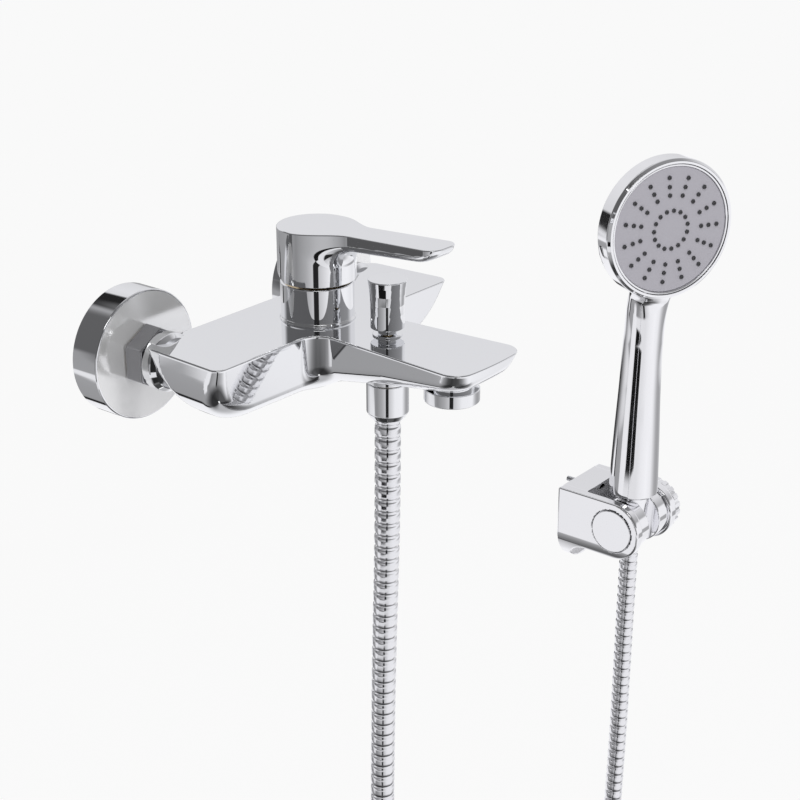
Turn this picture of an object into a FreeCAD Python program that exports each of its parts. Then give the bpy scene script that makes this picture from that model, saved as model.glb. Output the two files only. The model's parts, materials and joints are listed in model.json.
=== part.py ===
import FreeCAD, Part
import math
import os
import Sketcher
from FreeCAD import Placement, Rotation, Vector

# Wall-mounted bath mixer with a lever handle, a pull-up diverter, a ribbed
# metal hose, a round hand shower and its tilting wall bracket. Millimetres.
# The origin is on the wall, midway between the two inlets. X runs along the
# wall, -Y points away from it and Z is up.

doc = FreeCAD.newDocument("BathMixer")

SIZES = [
    # general clearances
    ("seat_gap", 0.2),
    ("turning_gap", 0.4),
    ("fine_gap", 0.05),
    ("fine_edge", 0.4),
    ("edge_break", 0.8),
    # wall connection
    ("inlet_spacing", 150.0),
    ("stud_radius", 10.5),
    ("stud_length", 12.0),
    ("stud_chamfer", 1.0),
    ("union_radius", 13.0),
    ("union_length", 21.5),
    ("waterway_radius", 8.0),
    ("escutcheon_radius", 34.6),
    ("escutcheon_depth", 17.4),
    ("escutcheon_wall", 1.2),
    ("escutcheon_edge", 2.2),
    ("nut_flats", 30.0),
    ("nut_length", 11.6),
    ("nut_lip", 3.2),
    ("nut_bevel_radius", 16.2),
    ("nut_bevel_slope", 1.6),
    ("inlet_washer_thickness", 2.0),
    ("inlet_washer_inset", 0.6),
    ("neck_head_length", 2.6),
    ("neck_stem_radius", 10.9),
    ("neck_flange_radius", 15.6),
    ("neck_flange_length", 5.8),
    ("neck_root_depth", 10.0),
    ("neck_root_inset", 2.0),
    ("inlet_bore_depth", 11.0),
    # body casting
    ("deck_level", 12.2),
    ("wing_half", 93.5),
    ("wing_rear_half", 90.5),
    ("hull_rear", 32.0),
    ("wing_front", 87.3),
    ("hull_depth", 34.0),
    ("hull_keel", 7.0),
    ("hull_slope", 0.3),
    ("hull_corner", 13.0),
    ("wing_end_slope", 0.38),
    ("wing_corner", 7.0),
    ("wing_rear_corner", 2.5),
    ("spout_root_half", 19.8),
    ("spout_tip_half", 28.0),
    ("spout_reach", 183.5),
    ("spout_root_depth", 31.0),
    ("spout_tip_depth", 10.5),
    ("spout_tip_corner", 9.0),
    ("spout_tip_bow", 2.5),
    ("inner_corner", 12.0),
    # cartridge tower
    ("tower_reach", 70.5),
    ("sleeve_radius", 19.6),
    ("sleeve_wall", 1.0),
    ("sleeve_height", 20.3),
    ("sleeve_foot_radius", 20.9),
    ("sleeve_foot_height", 2.4),
    ("sleeve_top_lip", 1.3),
    ("boss_wall", 1.1),
    ("boss_height", 15.0),
    ("cartridge_height", 26.0),
    ("cartridge_shoulder_height", 5.0),
    ("cartridge_shoulder_width", 3.0),
    ("cartridge_floor", 1.0),
    ("clamp_ring_height", 3.2),
    ("turret_radius", 10.0),
    ("turret_base_height", 5.0),
    ("turret_neck_inset", 1.6),
    ("cheek_half_depth", 4.5),
    ("cheek_outer", 8.3),
    ("pivot_height", 31.8),
    ("pin_radius", 1.5),
    ("stem_width", 8.0),
    ("stem_below_pin", 4.4),
    ("socket_gap", 0.1),
    ("socket_headroom", 0.3),
    # lever handle
    ("handle_radius", 20.8),
    ("handle_wall", 2.4),
    ("handle_gap", 1.6),
    ("handle_top", 50.1),
    ("handle_cap", 5.3),
    ("handle_hub_radius", 7.4),
    ("hub_above_pin", 5.6),
    ("lift_angle", 22.0),
    ("lever_reach", 155.5),
    ("lever_tip_half", 10.8),
    ("lever_root_half", 9.5),
    ("lever_thickness", 9.4),
    ("lever_rise", 3.8),
    ("grub_radius", 2.0),
    ("grub_height", 3.6),
    ("grub_proud", 0.6),
    ("plug_sunk", 0.3),
    # diverter
    ("outlet_reach", 117.8),
    ("knob_top_radius", 10.3),
    ("knob_waist_radius", 8.8),
    ("knob_foot_radius", 8.9),
    ("knob_height", 26.2),
    ("knob_lift_off_deck", 4.2),
    ("knob_neck_radius", 5.0),
    ("knob_socket_depth", 8.0),
    ("knob_foot_edge", 0.6),
    ("gland_radius", 8.0),
    ("gland_proud", 0.8),
    ("gland_depth", 5.0),
    ("gland_edge", 0.3),
    ("diverter_stem_radius", 3.0),
    ("diverter_cavity_radius", 7.2),
    ("diverter_cavity_depth", 19.0),
    ("piston_height", 3.6),
    ("piston_clearance", 0.6),
    # shower outlet and aerator
    ("outlet_boss_level", -13.0),
    ("outlet_boss_height", 12.0),
    ("shower_way_length", 19.0),
    ("outlet_nut_radius", 11.1),
    ("outlet_nut_length", 20.0),
    ("outlet_nut_gap", 0.3),
    ("outlet_nut_taper", 3.4),
    ("outlet_nut_narrowing", 2.2),
    ("spigot_radius", 9.3),
    ("spigot_bore", 5.0),
    ("spigot_length", 11.0),
    ("spigot_seat_depth", 4.0),
    ("outlet_washer_thickness", 2.0),
    ("ferrule_flange", 1.6),
    ("aerator_setback", 24.0),
    ("aerator_radius", 14.2),
    ("aerator_level", -13.2),
    ("aerator_seam_level", -6.0),
    ("aerator_stem_radius", 11.3),
    ("aerator_stem_length", 7.0),
    ("aerator_boss_height", 8.0),
    ("aerator_bore_depth", 9.9),
    ("aerator_flange", 1.6),
    ("aerator_washer_thickness", 1.8),
    ("aerator_edge", 0.5),
    ("aerator_wall", 1.8),
    ("aerator_recess", 1.2),
    ("aerator_bar", 0.9),
    ("aerator_bar_depth", 2.0),
    # hose
    ("hose_radius", 7.0),
    ("hose_groove", 0.8),
    ("hose_bore", 4.6),
    ("hose_ribs", 64.0),
    # bracket
    ("bracket_centre", 381.0),
    ("pivot_reach", 48.0),
    ("pivot_level", -261.0),
    ("bracket_inner_half", 20.5),
    ("arm_thickness", 8.0),
    ("arm_radius", 23.0),
    ("arm_edge", 1.6),
    ("bracket_block_depth", 21.0),
    ("bracket_foot_depth", 7.0),
    ("bracket_height", 65.0),
    ("scoop_radius", 17.0),
    ("bracket_screw_spacing", 30.0),
    ("bracket_screw_radius", 2.0),
    ("bracket_screw_reach", 10.0),
    ("bracket_screw_rise", 2.0),
    ("screw_head_length", 3.8),
    ("cap_radius", 16.5),
    ("cap_thickness", 2.4),
    ("cap_recess", 1.8),
    ("cap_edge", 0.5),
    ("cup_radius", 20.5),
    ("cup_slot_half", 7.6),
    ("cup_edge", 0.8),
    ("journal_radius", 7.0),
    ("knob_rim_radius", 21.5),
    ("knob_rim_length", 8.5),
    ("knob_grips", 20.0),
    ("knob_grip_depth", 0.9),
    ("knob_rim_edge", 1.2),
    ("knob_base_length", 1.8),
    # hand shower, along its own axis from the bracket pivot
    ("holder_lean", 0.5),
    ("handset_turn", 27.0),
    ("cone_top", 23.4),
    ("cone_bottom", -20.0),
    ("cone_top_radius", 12.4),
    ("cone_bottom_radius", 8.7),
    ("cone_wall_top", 9.6),
    ("nipple_in_nut", 13.0),
    ("grip_foot_radius", 18.5),
    ("grip_waist_radius", 14.6),
    ("grip_neck_radius", 15.6),
    ("head_level", 235.3),
    ("head_radius", 51.0),
    ("head_face", 27.0),
    ("head_rim_depth", 15.0),
    ("head_edge", 2.2),
    ("head_dome", 3.0),
    ("head_rim_taper", 0.6),
    ("head_back", 6.0),
    ("handset_bore", 8.5),
    ("handset_wall", 5.0),
    ("nipple_depth", 14.0),
    ("face_radius", 47.0),
    ("face_plate_radius", 45.2),
    ("face_plate_thickness", 2.4),
    ("nozzle_radius", 1.5),
    ("nozzle_height", 1.3),
    ("nozzle_mat_thickness", 1.6),
    ("nozzle_clearance", 0.15),
    ("mat_inset", 3.0),
    ("trim_proud", 0.5),
    ("nozzle_spokes", 15.0),
]


class Dim:
    """A size in millimetres together with the cell formula that gives it."""

    def __init__(self, value, text=None):
        self.value = float(value)
        self.text = text if text is not None else "%g" % value

    def _join(self, other, sign, value):
        return Dim(value, "(%s %s %s)" % (self.text, sign, dim(other).text))

    def __add__(self, other):
        return self._join(other, "+", self.value + float(other))

    def __radd__(self, other):
        return dim(other) + self

    def __sub__(self, other):
        return self._join(other, "-", self.value - float(other))

    def __rsub__(self, other):
        return dim(other) - self

    def __mul__(self, other):
        return self._join(other, "*", self.value * float(other))

    def __rmul__(self, other):
        return dim(other) * self

    def __truediv__(self, other):
        return self._join(other, "/", self.value / float(other))

    def __neg__(self):
        return Dim(-self.value, "(0 - %s)" % self.text)

    def __float__(self):
        return self.value


def dim(value):
    """Wraps a plain number as a Dim."""
    return value if isinstance(value, Dim) else Dim(value)


sheet = doc.addObject("Spreadsheet::Sheet", "Sizes")
for row, (alias, number) in enumerate(SIZES, start=1):
    sheet.set("A%d" % row, alias)
    sheet.set("B%d" % row, "%g" % number)
    sheet.setAlias("B%d" % row, alias)
doc.recompute()


class SizeTable:
    """Gives each named cell of the sheet as a Dim."""

    def __getattr__(self, alias):
        return Dim(sheet.get(alias), "Sizes." + alias)


s = SizeTable()
nodes = []

TO_WALL = Rotation(Vector(1, 0, 0), -90)
FROM_WALL = Rotation(Vector(1, 0, 0), 90)
ALONG_X = Rotation(Vector(0, 1, 0), 90)
TO_LEFT = Rotation(Vector(0, 1, 0), -90)
UPRIGHT = Rotation()

# How far a joining or cutting form runs past the face it meets.
OVERLAP = Dim(1.0)


def place(obj, at=(0, 0, 0), turn=UPRIGHT):
    """Puts an object at a point given in Dims, which stays tied to the cells."""
    obj.Placement = Placement(Vector(*[float(c) for c in at]), turn)
    for axis, coordinate in zip("xyz", at):
        if isinstance(coordinate, Dim):
            obj.setExpression("Placement.Base." + axis, coordinate.text)


def bind(obj, **sizes):
    """Sets numeric properties and ties each to its formula."""
    for name, value in sizes.items():
        setattr(obj, name, float(value))
        if isinstance(value, Dim):
            obj.setExpression(name, value.text)


def node(obj, label):
    """Marks an object as a finished sub-part."""
    obj.Label = label
    nodes.append(obj)
    return obj


def cylinder(name, radius, height, at=(0, 0, 0), turn=UPRIGHT):
    obj = doc.addObject("Part::Cylinder", name)
    bind(obj, Radius=radius, Height=height)
    place(obj, at, turn)
    return obj


def cone(name, radius_1, radius_2, height, at=(0, 0, 0), turn=UPRIGHT):
    obj = doc.addObject("Part::Cone", name)
    bind(obj, Radius1=radius_1, Radius2=radius_2, Height=height)
    place(obj, at, turn)
    return obj


def box(name, length, width, height, at=(0, 0, 0), turn=UPRIGHT):
    obj = doc.addObject("Part::Box", name)
    bind(obj, Length=length, Width=width, Height=height)
    place(obj, at, turn)
    return obj


# Corner radius of a hexagon for each millimetre across its flats.
HEXAGON_CORNER = 1 / math.sqrt(3)


def hexagon(name, flats, height, at=(0, 0, 0), turn=UPRIGHT):
    obj = doc.addObject("Part::Prism", name)
    obj.Polygon = 6
    bind(obj, Circumradius=flats * HEXAGON_CORNER, Height=height)
    place(obj, at, turn)
    return obj


def cut(name, base, *tools):
    """Takes one or more tools away from a base."""
    for index, tool in enumerate(tools):
        obj = doc.addObject("Part::Cut", "%s_cut%d" % (name, index))
        obj.Base = base
        obj.Tool = tool
        base = obj
    return base


def fuse(name, *shapes):
    obj = doc.addObject("Part::MultiFuse", name)
    obj.Shapes = list(shapes)
    obj.Refine = False
    return obj


def solid(name, shape, at=(0, 0, 0), turn=UPRIGHT):
    """Holds a shape made from the sheet's values in a feature of its own."""
    obj = doc.addObject("Part::Feature", name)
    obj.Shape = shape
    place(obj, at, turn)
    return obj


def profile(body, name, loop):
    """Draws a closed profile on a body's XZ plane.

    A vertex is (across, up), and (across, up, radius, bulge) starts an arc of
    that radius, which bulges to the left (+1) or right (-1) of its chord.
    """
    plane = [f for f in body.Origin.OriginFeatures if f.Role == "XZ_Plane"][0]
    sketch = body.newObject("Sketcher::SketchObject", name)
    sketch.AttachmentSupport = [(plane, "")]
    sketch.MapMode = "FlatFace"
    corners = [Vector(float(v[0]), float(v[1]), 0) for v in loop]
    ends = []
    for index, vertex in enumerate(loop):
        start = corners[index]
        end = corners[(index + 1) % len(loop)]
        if len(vertex) == 2:
            edge = sketch.addGeometry(Part.LineSegment(start, end), False)
        else:
            chord = end - start
            reach = chord.Length / 2
            radius = max(float(vertex[2]), reach * 1.0001)
            sagitta = radius - math.sqrt(radius ** 2 - reach ** 2)
            side = Vector(-chord.y, chord.x, 0).normalize() * vertex[3]
            middle = (start + end) * 0.5 + side * sagitta
            edge = sketch.addGeometry(Part.Arc(start, middle, end), False)
        first = 1 if sketch.getPoint(edge, 1).distanceToPoint(start) < 1e-6 else 2
        ends.append((edge, first, 3 - first))
    for index, vertex in enumerate(loop):
        edge, first, last = ends[index]
        following = ends[(index + 1) % len(loop)]
        sketch.addConstraint(
            Sketcher.Constraint("Coincident", edge, last, following[0], following[1]))
        for kind, value in (("DistanceX", vertex[0]), ("DistanceY", vertex[1])):
            value = dim(value)
            if value.text == "0":
                axis = -2 if kind == "DistanceX" else -1
                sketch.addConstraint(
                    Sketcher.Constraint("PointOnObject", edge, first, axis))
                continue
            place_index = sketch.addConstraint(
                Sketcher.Constraint(kind, -1, 1, edge, first, value.value))
            sketch.setExpression("Constraints[%d]" % place_index, value.text)
        if len(vertex) == 4:
            round_index = sketch.addConstraint(
                Sketcher.Constraint("Radius", edge, float(vertex[2])))
            sketch.setExpression("Constraints[%d]" % round_index, dim(vertex[2]).text)
    return sketch


def turned(name, loop, at=(0, 0, 0), turn=UPRIGHT):
    """A body of revolution: its half profile as (radius, height) vertices."""
    body = doc.addObject("PartDesign::Body", name)
    sketch = profile(body, name + "_profile", loop)
    revolution = body.newObject("PartDesign::Revolution", name + "_turned")
    revolution.Profile = sketch
    revolution.ReferenceAxis = (sketch, ["V_Axis"])
    revolution.Angle = 360.0
    body.Tip = revolution
    place(body, at, turn)
    return body


def ring(name, inner, outer, bottom, top, at=(0, 0, 0), turn=UPRIGHT):
    """A plain turned ring between two heights."""
    loop = [(inner, bottom), (outer, bottom), (outer, top), (inner, top)]
    return turned(name, loop, at, turn)


# Water connections at the wall

union_face = s.union_length
washer_start = union_face + s.seat_gap
washer_end = washer_start + s.inlet_washer_thickness
neck_start = washer_end + s.seat_gap
lip_start = neck_start + s.neck_head_length + s.seat_gap
nut_front = lip_start + s.nut_lip
nut_rear = nut_front - s.nut_length
flange_start = nut_front + s.turning_gap
nut_bore = s.union_radius + s.seat_gap
soft = 1 - math.sqrt(0.5)


def wall_union(side, x):
    """Threaded connector: a stud for the pipe in the wall, a wider end for the nut."""
    at = (x, 0, 0)
    outside = turned("wall_union_%s_barrel" % side, [
        (s.waterway_radius, -s.stud_length),
        (s.stud_radius - s.stud_chamfer, -s.stud_length),
        (s.stud_radius, s.stud_chamfer - s.stud_length),
        (s.stud_radius, 0.0),
        (s.union_radius, 0.0),
        (s.union_radius, union_face),
        (s.waterway_radius, union_face),
    ], at, FROM_WALL)
    return node(outside, "wall_union_%s" % side)


def escutcheon(side, x):
    """Hollow round cover over the union, open against the wall."""
    bore = s.union_radius + s.seat_gap
    edge = s.escutcheon_edge
    wall = s.escutcheon_wall
    cover = turned("escutcheon_%s_cover" % side, [
        (s.escutcheon_radius - wall, 0.0),
        (s.escutcheon_radius, 0.0),
        (s.escutcheon_radius, s.escutcheon_depth - edge),
        (s.escutcheon_radius - edge * soft, s.escutcheon_depth - edge * soft),
        (s.escutcheon_radius - edge, s.escutcheon_depth),
        (bore, s.escutcheon_depth),
        (bore, s.escutcheon_depth - wall * 2),
        (bore + wall, s.escutcheon_depth - wall * 2),
        (bore + wall, s.escutcheon_depth - wall),
        (s.escutcheon_radius - edge, s.escutcheon_depth - wall),
        (s.escutcheon_radius - wall, s.escutcheon_depth - edge),
    ], (x, 0, 0), FROM_WALL)
    return node(cover, "escutcheon_%s" % side)


def union_nut(side, x):
    """Hexagon nut with a lip that pulls the body's neck onto the washer."""
    blank = hexagon("union_nut_%s_blank" % side, s.nut_flats, s.nut_length,
                    (x, -nut_rear, 0), FROM_WALL)
    narrow = s.nut_bevel_radius
    wide = s.nut_bevel_radius + s.nut_length * s.nut_bevel_slope
    bevel_rear = cone("union_nut_%s_bevel" % side, narrow, wide, s.nut_length,
                      (x, -nut_rear, 0), FROM_WALL)
    bevel_front = cone("union_nut_%s_bevel_front" % side, wide, narrow, s.nut_length,
                       (x, -nut_rear, 0), FROM_WALL)
    outside = doc.addObject("Part::MultiCommon", "union_nut_%s_outside" % side)
    outside.Shapes = [blank, bevel_rear, bevel_front]
    thread = cylinder("union_nut_%s_thread" % side, nut_bore, lip_start - nut_rear,
                      (x, -nut_rear, 0), FROM_WALL)
    throat = cylinder("union_nut_%s_throat" % side, s.neck_stem_radius + s.seat_gap,
                      s.nut_length, (x, -nut_rear, 0), FROM_WALL)
    return node(cut("union_nut_%s" % side, outside, thread, throat),
                "union_nut_%s" % side)


def inlet_washer(side, x):
    """Fibre washer clamped between the union and the neck."""
    flat = ring("inlet_washer_%s_flat" % side, s.waterway_radius,
                s.union_radius - s.inlet_washer_inset, washer_start, washer_end,
                (x, 0, 0), FROM_WALL)
    return node(flat, "inlet_washer_%s" % side)


inlets = (("left", -s.inlet_spacing / 2), ("right", s.inlet_spacing / 2))
for side, x in inlets:
    wall_union(side, x)
    escutcheon(side, x)
    union_nut(side, x)
    inlet_washer(side, x)


# Body casting: a flat deck over a boat-shaped hull

deck = float(s.deck_level)
aerator_reach = s.spout_reach - s.aerator_setback
boss_outer = s.sleeve_radius - s.sleeve_wall - s.seat_gap


def hull_section(across, depth, low, high, slope, corner, taper=None):
    """One U-shaped cross-section under the deck, from its low to its high side.

    The sides lean in by slope millimetres for each millimetre of depth and run
    into the flat bottom through arcs. A wing's section gives its taper: the share
    of its distance from the middle that it keeps at its low side.
    """
    def point(u, z):
        if taper is None:
            return Vector(u, -across, z)
        share = taper + (1 - taper) * (u - low) / (high - low)
        return Vector(across * share, -u, z)

    bottom = deck - depth
    lean = math.atan(slope)
    tangent = corner * math.tan((math.pi / 2 - lean) / 2)
    side_drop = depth - tangent * math.cos(lean)
    inner_low = low + slope * depth
    inner_high = high - slope * depth
    a = point(low, deck)
    b = point(low + slope * side_drop, deck - side_drop)
    c = point(inner_low + tangent, bottom)
    d = point(inner_high - tangent, bottom)
    e = point(high - slope * side_drop, deck - side_drop)
    f = point(high, deck)
    half_turn = (math.pi / 2 - lean) / 2
    rise = corner * (1 - math.cos(half_turn))
    shift = tangent - corner * math.sin(half_turn)
    mid_low = point(inner_low + shift, bottom + rise)
    mid_high = point(inner_high - shift, bottom + rise)
    edges = [
        Part.LineSegment(a, b), Part.Arc(b, mid_low, c), Part.LineSegment(c, d),
        Part.Arc(d, mid_high, e), Part.LineSegment(e, f), Part.LineSegment(f, a),
    ]
    return Part.Wire([edge.toShape() for edge in edges])


def rounded_outline(points, height, base):
    """A vertical prism over an outline whose vertices are (x, y, corner radius)."""
    edges = []
    tangents = []
    count = len(points)
    for index in range(count):
        here = Vector(points[index][0], points[index][1], 0)
        before = Vector(*points[index - 1][:2], 0) - here
        after = Vector(*points[(index + 1) % count][:2], 0) - here
        radius = points[index][2]
        half = before.getAngle(after) / 2
        before.normalize()
        after.normalize()
        reach = radius / math.tan(half)
        start = here + before * reach
        end = here + after * reach
        bisector = (before + after).normalize()
        middle = here + bisector * (radius / math.sin(half) - radius)
        tangents.append((start, middle, end))
    for index in range(count):
        start, middle, end = tangents[index]
        following = tangents[(index + 1) % count][0]
        if points[index][2] > 0:
            edges.append(Part.Arc(start, middle, end).toShape())
        edges.append(Part.LineSegment(end, following).toShape())
    face = Part.Face(Part.Wire(edges))
    face.translate(Vector(0, 0, base))
    return face.extrude(Vector(0, 0, height))


def side_inset(drop, depth, slope, corner):
    """How far a leaning side with a rounded foot has moved in at a given drop."""
    lean = math.atan(slope)
    tangent = corner * math.tan((math.pi / 2 - lean) / 2)
    if drop <= depth - tangent * math.cos(lean):
        return slope * drop
    below_centre = corner - (depth - drop)
    return slope * depth + tangent - math.sqrt(max(corner ** 2 - below_centre ** 2, 0.0))


# Rows of the inner web: (share of the spout's depth, share of the corner radius).
WEB_ROWS = [(-0.01, 1.0), (0.25, 1.0), (0.5, 0.95), (0.7, 0.75), (0.85, 0.45)]


def inner_web(side, wing_depth, spout_depth, spout_half):
    """Fills the sharp corner between wing and spout with a concave curve."""
    radius = float(s.inner_corner)
    slope = float(s.hull_slope)
    corner = float(s.hull_corner)
    wing_edge = float(s.wing_front)
    sunk = 0.04
    inside = 2.0
    back = 0.5
    wires = []
    for share, shrink in WEB_ROWS:
        drop = spout_depth * share
        x = spout_half - back - side_inset(drop, spout_depth, slope, corner)
        y = wing_edge - side_inset(drop, wing_depth, slope, corner)
        reach = radius * shrink
        turn = reach * soft
        z = deck - drop
        points = [
            (x - inside, y - inside), (x - inside, y + reach), (x - sunk, y + reach),
            (x + turn, y + turn), (x + reach, y - sunk), (x + reach, y - inside),
        ]
        corners = [Vector(side * u, -v, z) for u, v in points]
        wires.append(Part.Wire([
            Part.LineSegment(corners[0], corners[1]).toShape(),
            Part.LineSegment(corners[1], corners[2]).toShape(),
            Part.Arc(corners[2], corners[3], corners[4]).toShape(),
            Part.LineSegment(corners[4], corners[5]).toShape(),
            Part.LineSegment(corners[5], corners[0]).toShape(),
        ]))
    return Part.makeLoft(wires, True, True)


# Depths of the sections across a wing's end, as shares of the hull's depth there.
WING_ROWS = [0.04, 0.2, 0.4, 0.6, 0.76, 0.87, 0.95, 0.99, 1.0]


def wing_hull():
    """The bar from wing to wing, ruled between sections that follow its end profile."""
    half = float(s.wing_half)
    rear_half = float(s.wing_rear_half)
    depth = float(s.hull_depth)
    rear = float(s.hull_rear)
    front = float(s.wing_front)
    slope = float(s.hull_slope)
    end_slope = float(s.wing_end_slope)
    corner = float(s.hull_corner)
    keel = float(s.hull_keel)
    taper = rear_half / half
    sections = []
    for deep in WING_ROWS:
        x = half - side_inset(deep * depth, depth, end_slope, corner + 1.0)
        rounding = corner * min(1.0, deep * 1.05)
        sections.append(hull_section(x, depth * deep, rear, front, slope, rounding, taper))
    sections.append(hull_section(0.0, depth + keel, rear, front, slope, corner, taper))
    right = Part.makeLoft(sections, True, True)
    left = right.mirror(Vector(0, 0, 0), Vector(1, 0, 0))
    whole = right.fuse(left)
    front_corner = float(s.wing_corner)
    rear_corner = float(s.wing_rear_corner)
    outline = rounded_outline([
        (-rear_half, -rear, rear_corner), (rear_half, -rear, rear_corner),
        (half, -front, front_corner), (-half, -front, front_corner),
    ], depth + 2 * keel, deck - depth - 1.5 * keel)
    return whole.common(outline)


# Share of the spout's length where its tip starts to round up, the rows before it
# and the turns of the rows round the tip, in degrees.
TIP_START = 0.87
SPOUT_ROWS = [0.0, 0.3, 0.6, 0.8]
TIP_TURNS = [0, 22, 42, 60, 75, 87]


def spout_depth_at(share):
    """Depth of the spout between the tower and the start of its rounded tip."""
    root = float(s.spout_root_depth)
    return root + (float(s.spout_tip_depth) - root) * share / TIP_START


def spout_hull():
    """The spout, shallower and narrower towards its rounded tip."""
    reach = float(s.spout_reach)
    start = float(s.tower_reach)
    root = float(s.spout_root_half)
    tip = float(s.spout_tip_half)
    slope = float(s.hull_slope)
    rows = [(share, spout_depth_at(share)) for share in SPOUT_ROWS]
    for degrees in TIP_TURNS:
        angle = math.radians(degrees)
        rows.append((TIP_START + (1 - TIP_START) * math.sin(angle),
                     spout_depth_at(TIP_START) * math.cos(angle)))
    sections = []
    for share, depth in rows:
        half = root + (tip - root) * share
        corner = min(float(s.hull_corner) - 1.0, depth * 0.5)
        sections.append(hull_section(start + (reach - start) * share, depth, -half, half,
                                     slope, corner))
    whole = Part.makeLoft(sections, True, True)
    margin = 2.0
    depth = float(s.spout_root_depth) + margin
    corner = float(s.spout_tip_corner)
    bow = float(s.spout_tip_bow)
    full_bow_radius = (tip ** 2 + bow ** 2) / (2 * bow)
    bow_radius = 0.4 * full_bow_radius
    outline = rounded_outline([
        (-root, -start, 0.0), (-tip, -reach + bow, corner), (0, -reach - bow, bow_radius),
        (tip, -reach + bow, corner), (root, -start, 0.0),
    ], depth + margin, deck - depth)
    return whole.common(outline)


def body_casting():
    """Hull, inlet necks, cartridge boss, and the bores that the fittings use."""
    wing_depth = float(s.hull_depth)
    root_share = (float(s.wing_front - s.tower_reach)
                  / float(s.spout_reach - s.tower_reach))
    root_depth = spout_depth_at(root_share)
    root_half = (float(s.spout_root_half)
                 + float(s.spout_tip_half - s.spout_root_half) * root_share)
    webs = [inner_web(side, wing_depth, root_depth, root_half) for side in (-1, 1)]
    blank = wing_hull().fuse([spout_hull()] + webs).removeSplitter()
    hull = solid("body_casting_hull", blank)
    pieces = [hull]
    tools = []
    neck_end = s.hull_rear + s.neck_root_depth
    for side, x in inlets:
        at = (x, 0, 0)
        pieces.append(turned("body_casting_neck_%s" % side, [
            (0, neck_start),
            (s.union_radius - s.seat_gap, neck_start),
            (s.union_radius - s.seat_gap, neck_start + s.neck_head_length),
            (s.neck_stem_radius, neck_start + s.neck_head_length),
            (s.neck_stem_radius, flange_start),
            (s.neck_flange_radius - s.edge_break, flange_start),
            (s.neck_flange_radius, flange_start + s.edge_break),
            (s.neck_flange_radius, flange_start + s.neck_flange_length),
            (s.neck_flange_radius - s.neck_root_inset, neck_end),
            (0, neck_end),
        ], at, FROM_WALL))
        tools.append(cylinder("body_casting_inlet_%s" % side, s.waterway_radius,
                              neck_end + s.inlet_bore_depth + OVERLAP,
                              (x, OVERLAP - neck_start, 0), FROM_WALL))
    pieces.append(cylinder("body_casting_boss", boss_outer, s.boss_height + OVERLAP,
                           (0, -s.tower_reach, s.deck_level - OVERLAP)))
    tools.append(cylinder("body_casting_cartridge_bore", boss_outer - s.boss_wall,
                          s.boss_height + s.deck_level + OVERLAP,
                          (0, -s.tower_reach, s.cartridge_floor)))
    pieces.append(cylinder("body_casting_outlet_boss", s.outlet_nut_radius,
                           s.outlet_boss_height,
                           (0, -s.outlet_reach, s.outlet_boss_level)))
    tools.append(cylinder("body_casting_gland_bore", s.gland_radius,
                          s.gland_depth + OVERLAP,
                          (0, -s.outlet_reach, s.deck_level - s.gland_depth)))
    tools.append(cylinder("body_casting_diverter_bore", s.diverter_cavity_radius,
                          s.diverter_cavity_depth,
                          (0, -s.outlet_reach, s.deck_level - s.diverter_cavity_depth)))
    tools.append(cylinder("body_casting_outlet_bore", s.spigot_radius + s.seat_gap,
                          s.spigot_seat_depth + OVERLAP,
                          (0, -s.outlet_reach, s.outlet_boss_level - OVERLAP)))
    tools.append(cylinder("body_casting_shower_way", s.spigot_bore,
                          s.shower_way_length + OVERLAP,
                          (0, -s.outlet_reach, s.outlet_boss_level - OVERLAP)))
    pieces.append(cylinder("body_casting_aerator_boss", s.aerator_radius,
                           s.aerator_boss_height,
                           (0, -aerator_reach, s.aerator_seam_level)))
    tools.append(cylinder("body_casting_aerator_bore",
                          s.aerator_stem_radius + s.seat_gap,
                          s.aerator_bore_depth + OVERLAP,
                          (0, -aerator_reach, s.aerator_seam_level - OVERLAP)))
    whole = fuse("body_casting_solid", *pieces)
    return node(cut("body_casting", whole, *tools), "body_casting")


body_casting()


# Cartridge tower: sleeve, cartridge, clamp ring and turret

tower = (0, -s.tower_reach, 0)
sleeve_top = s.deck_level + s.sleeve_height
cartridge_radius = boss_outer - s.boss_wall - s.seat_gap
cartridge_top = s.cartridge_floor + s.seat_gap + s.cartridge_height
clamp_bottom = cartridge_top + s.seat_gap
clamp_top = clamp_bottom + s.clamp_ring_height
turret_bottom = clamp_top + s.turning_gap
turret_neck = s.turret_radius - s.turret_neck_inset
pivot_level = s.deck_level + s.pivot_height

sleeve_base = s.deck_level + s.fine_gap
foot_top = s.deck_level + s.sleeve_foot_height
node(turned("cartridge_sleeve_shell", [
    (s.sleeve_radius - s.sleeve_wall, sleeve_base),
    (s.sleeve_foot_radius - s.edge_break, sleeve_base),
    (s.sleeve_foot_radius, s.deck_level + s.edge_break),
    (s.sleeve_foot_radius, foot_top - s.edge_break),
    (s.sleeve_radius, foot_top + s.edge_break),
    (s.sleeve_radius, sleeve_top - s.fine_edge),
    (s.sleeve_radius - s.fine_edge, sleeve_top),
    (s.turret_radius + s.turning_gap, sleeve_top),
    (s.turret_radius + s.turning_gap, sleeve_top - s.sleeve_top_lip),
    (s.sleeve_radius - s.sleeve_wall, sleeve_top - s.sleeve_top_lip),
], tower), "cartridge_sleeve")

node(turned("cartridge_body_solid", [
    (0, s.cartridge_floor + s.seat_gap),
    (cartridge_radius, s.cartridge_floor + s.seat_gap),
    (cartridge_radius, cartridge_top - s.cartridge_shoulder_height),
    (cartridge_radius - s.cartridge_shoulder_width, cartridge_top),
    (0, cartridge_top),
], tower), "cartridge_body")

node(ring("clamp_ring_solid", turret_neck + s.turning_gap, cartridge_radius,
          clamp_bottom, clamp_top - s.seat_gap, tower), "clamp_ring")


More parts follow.
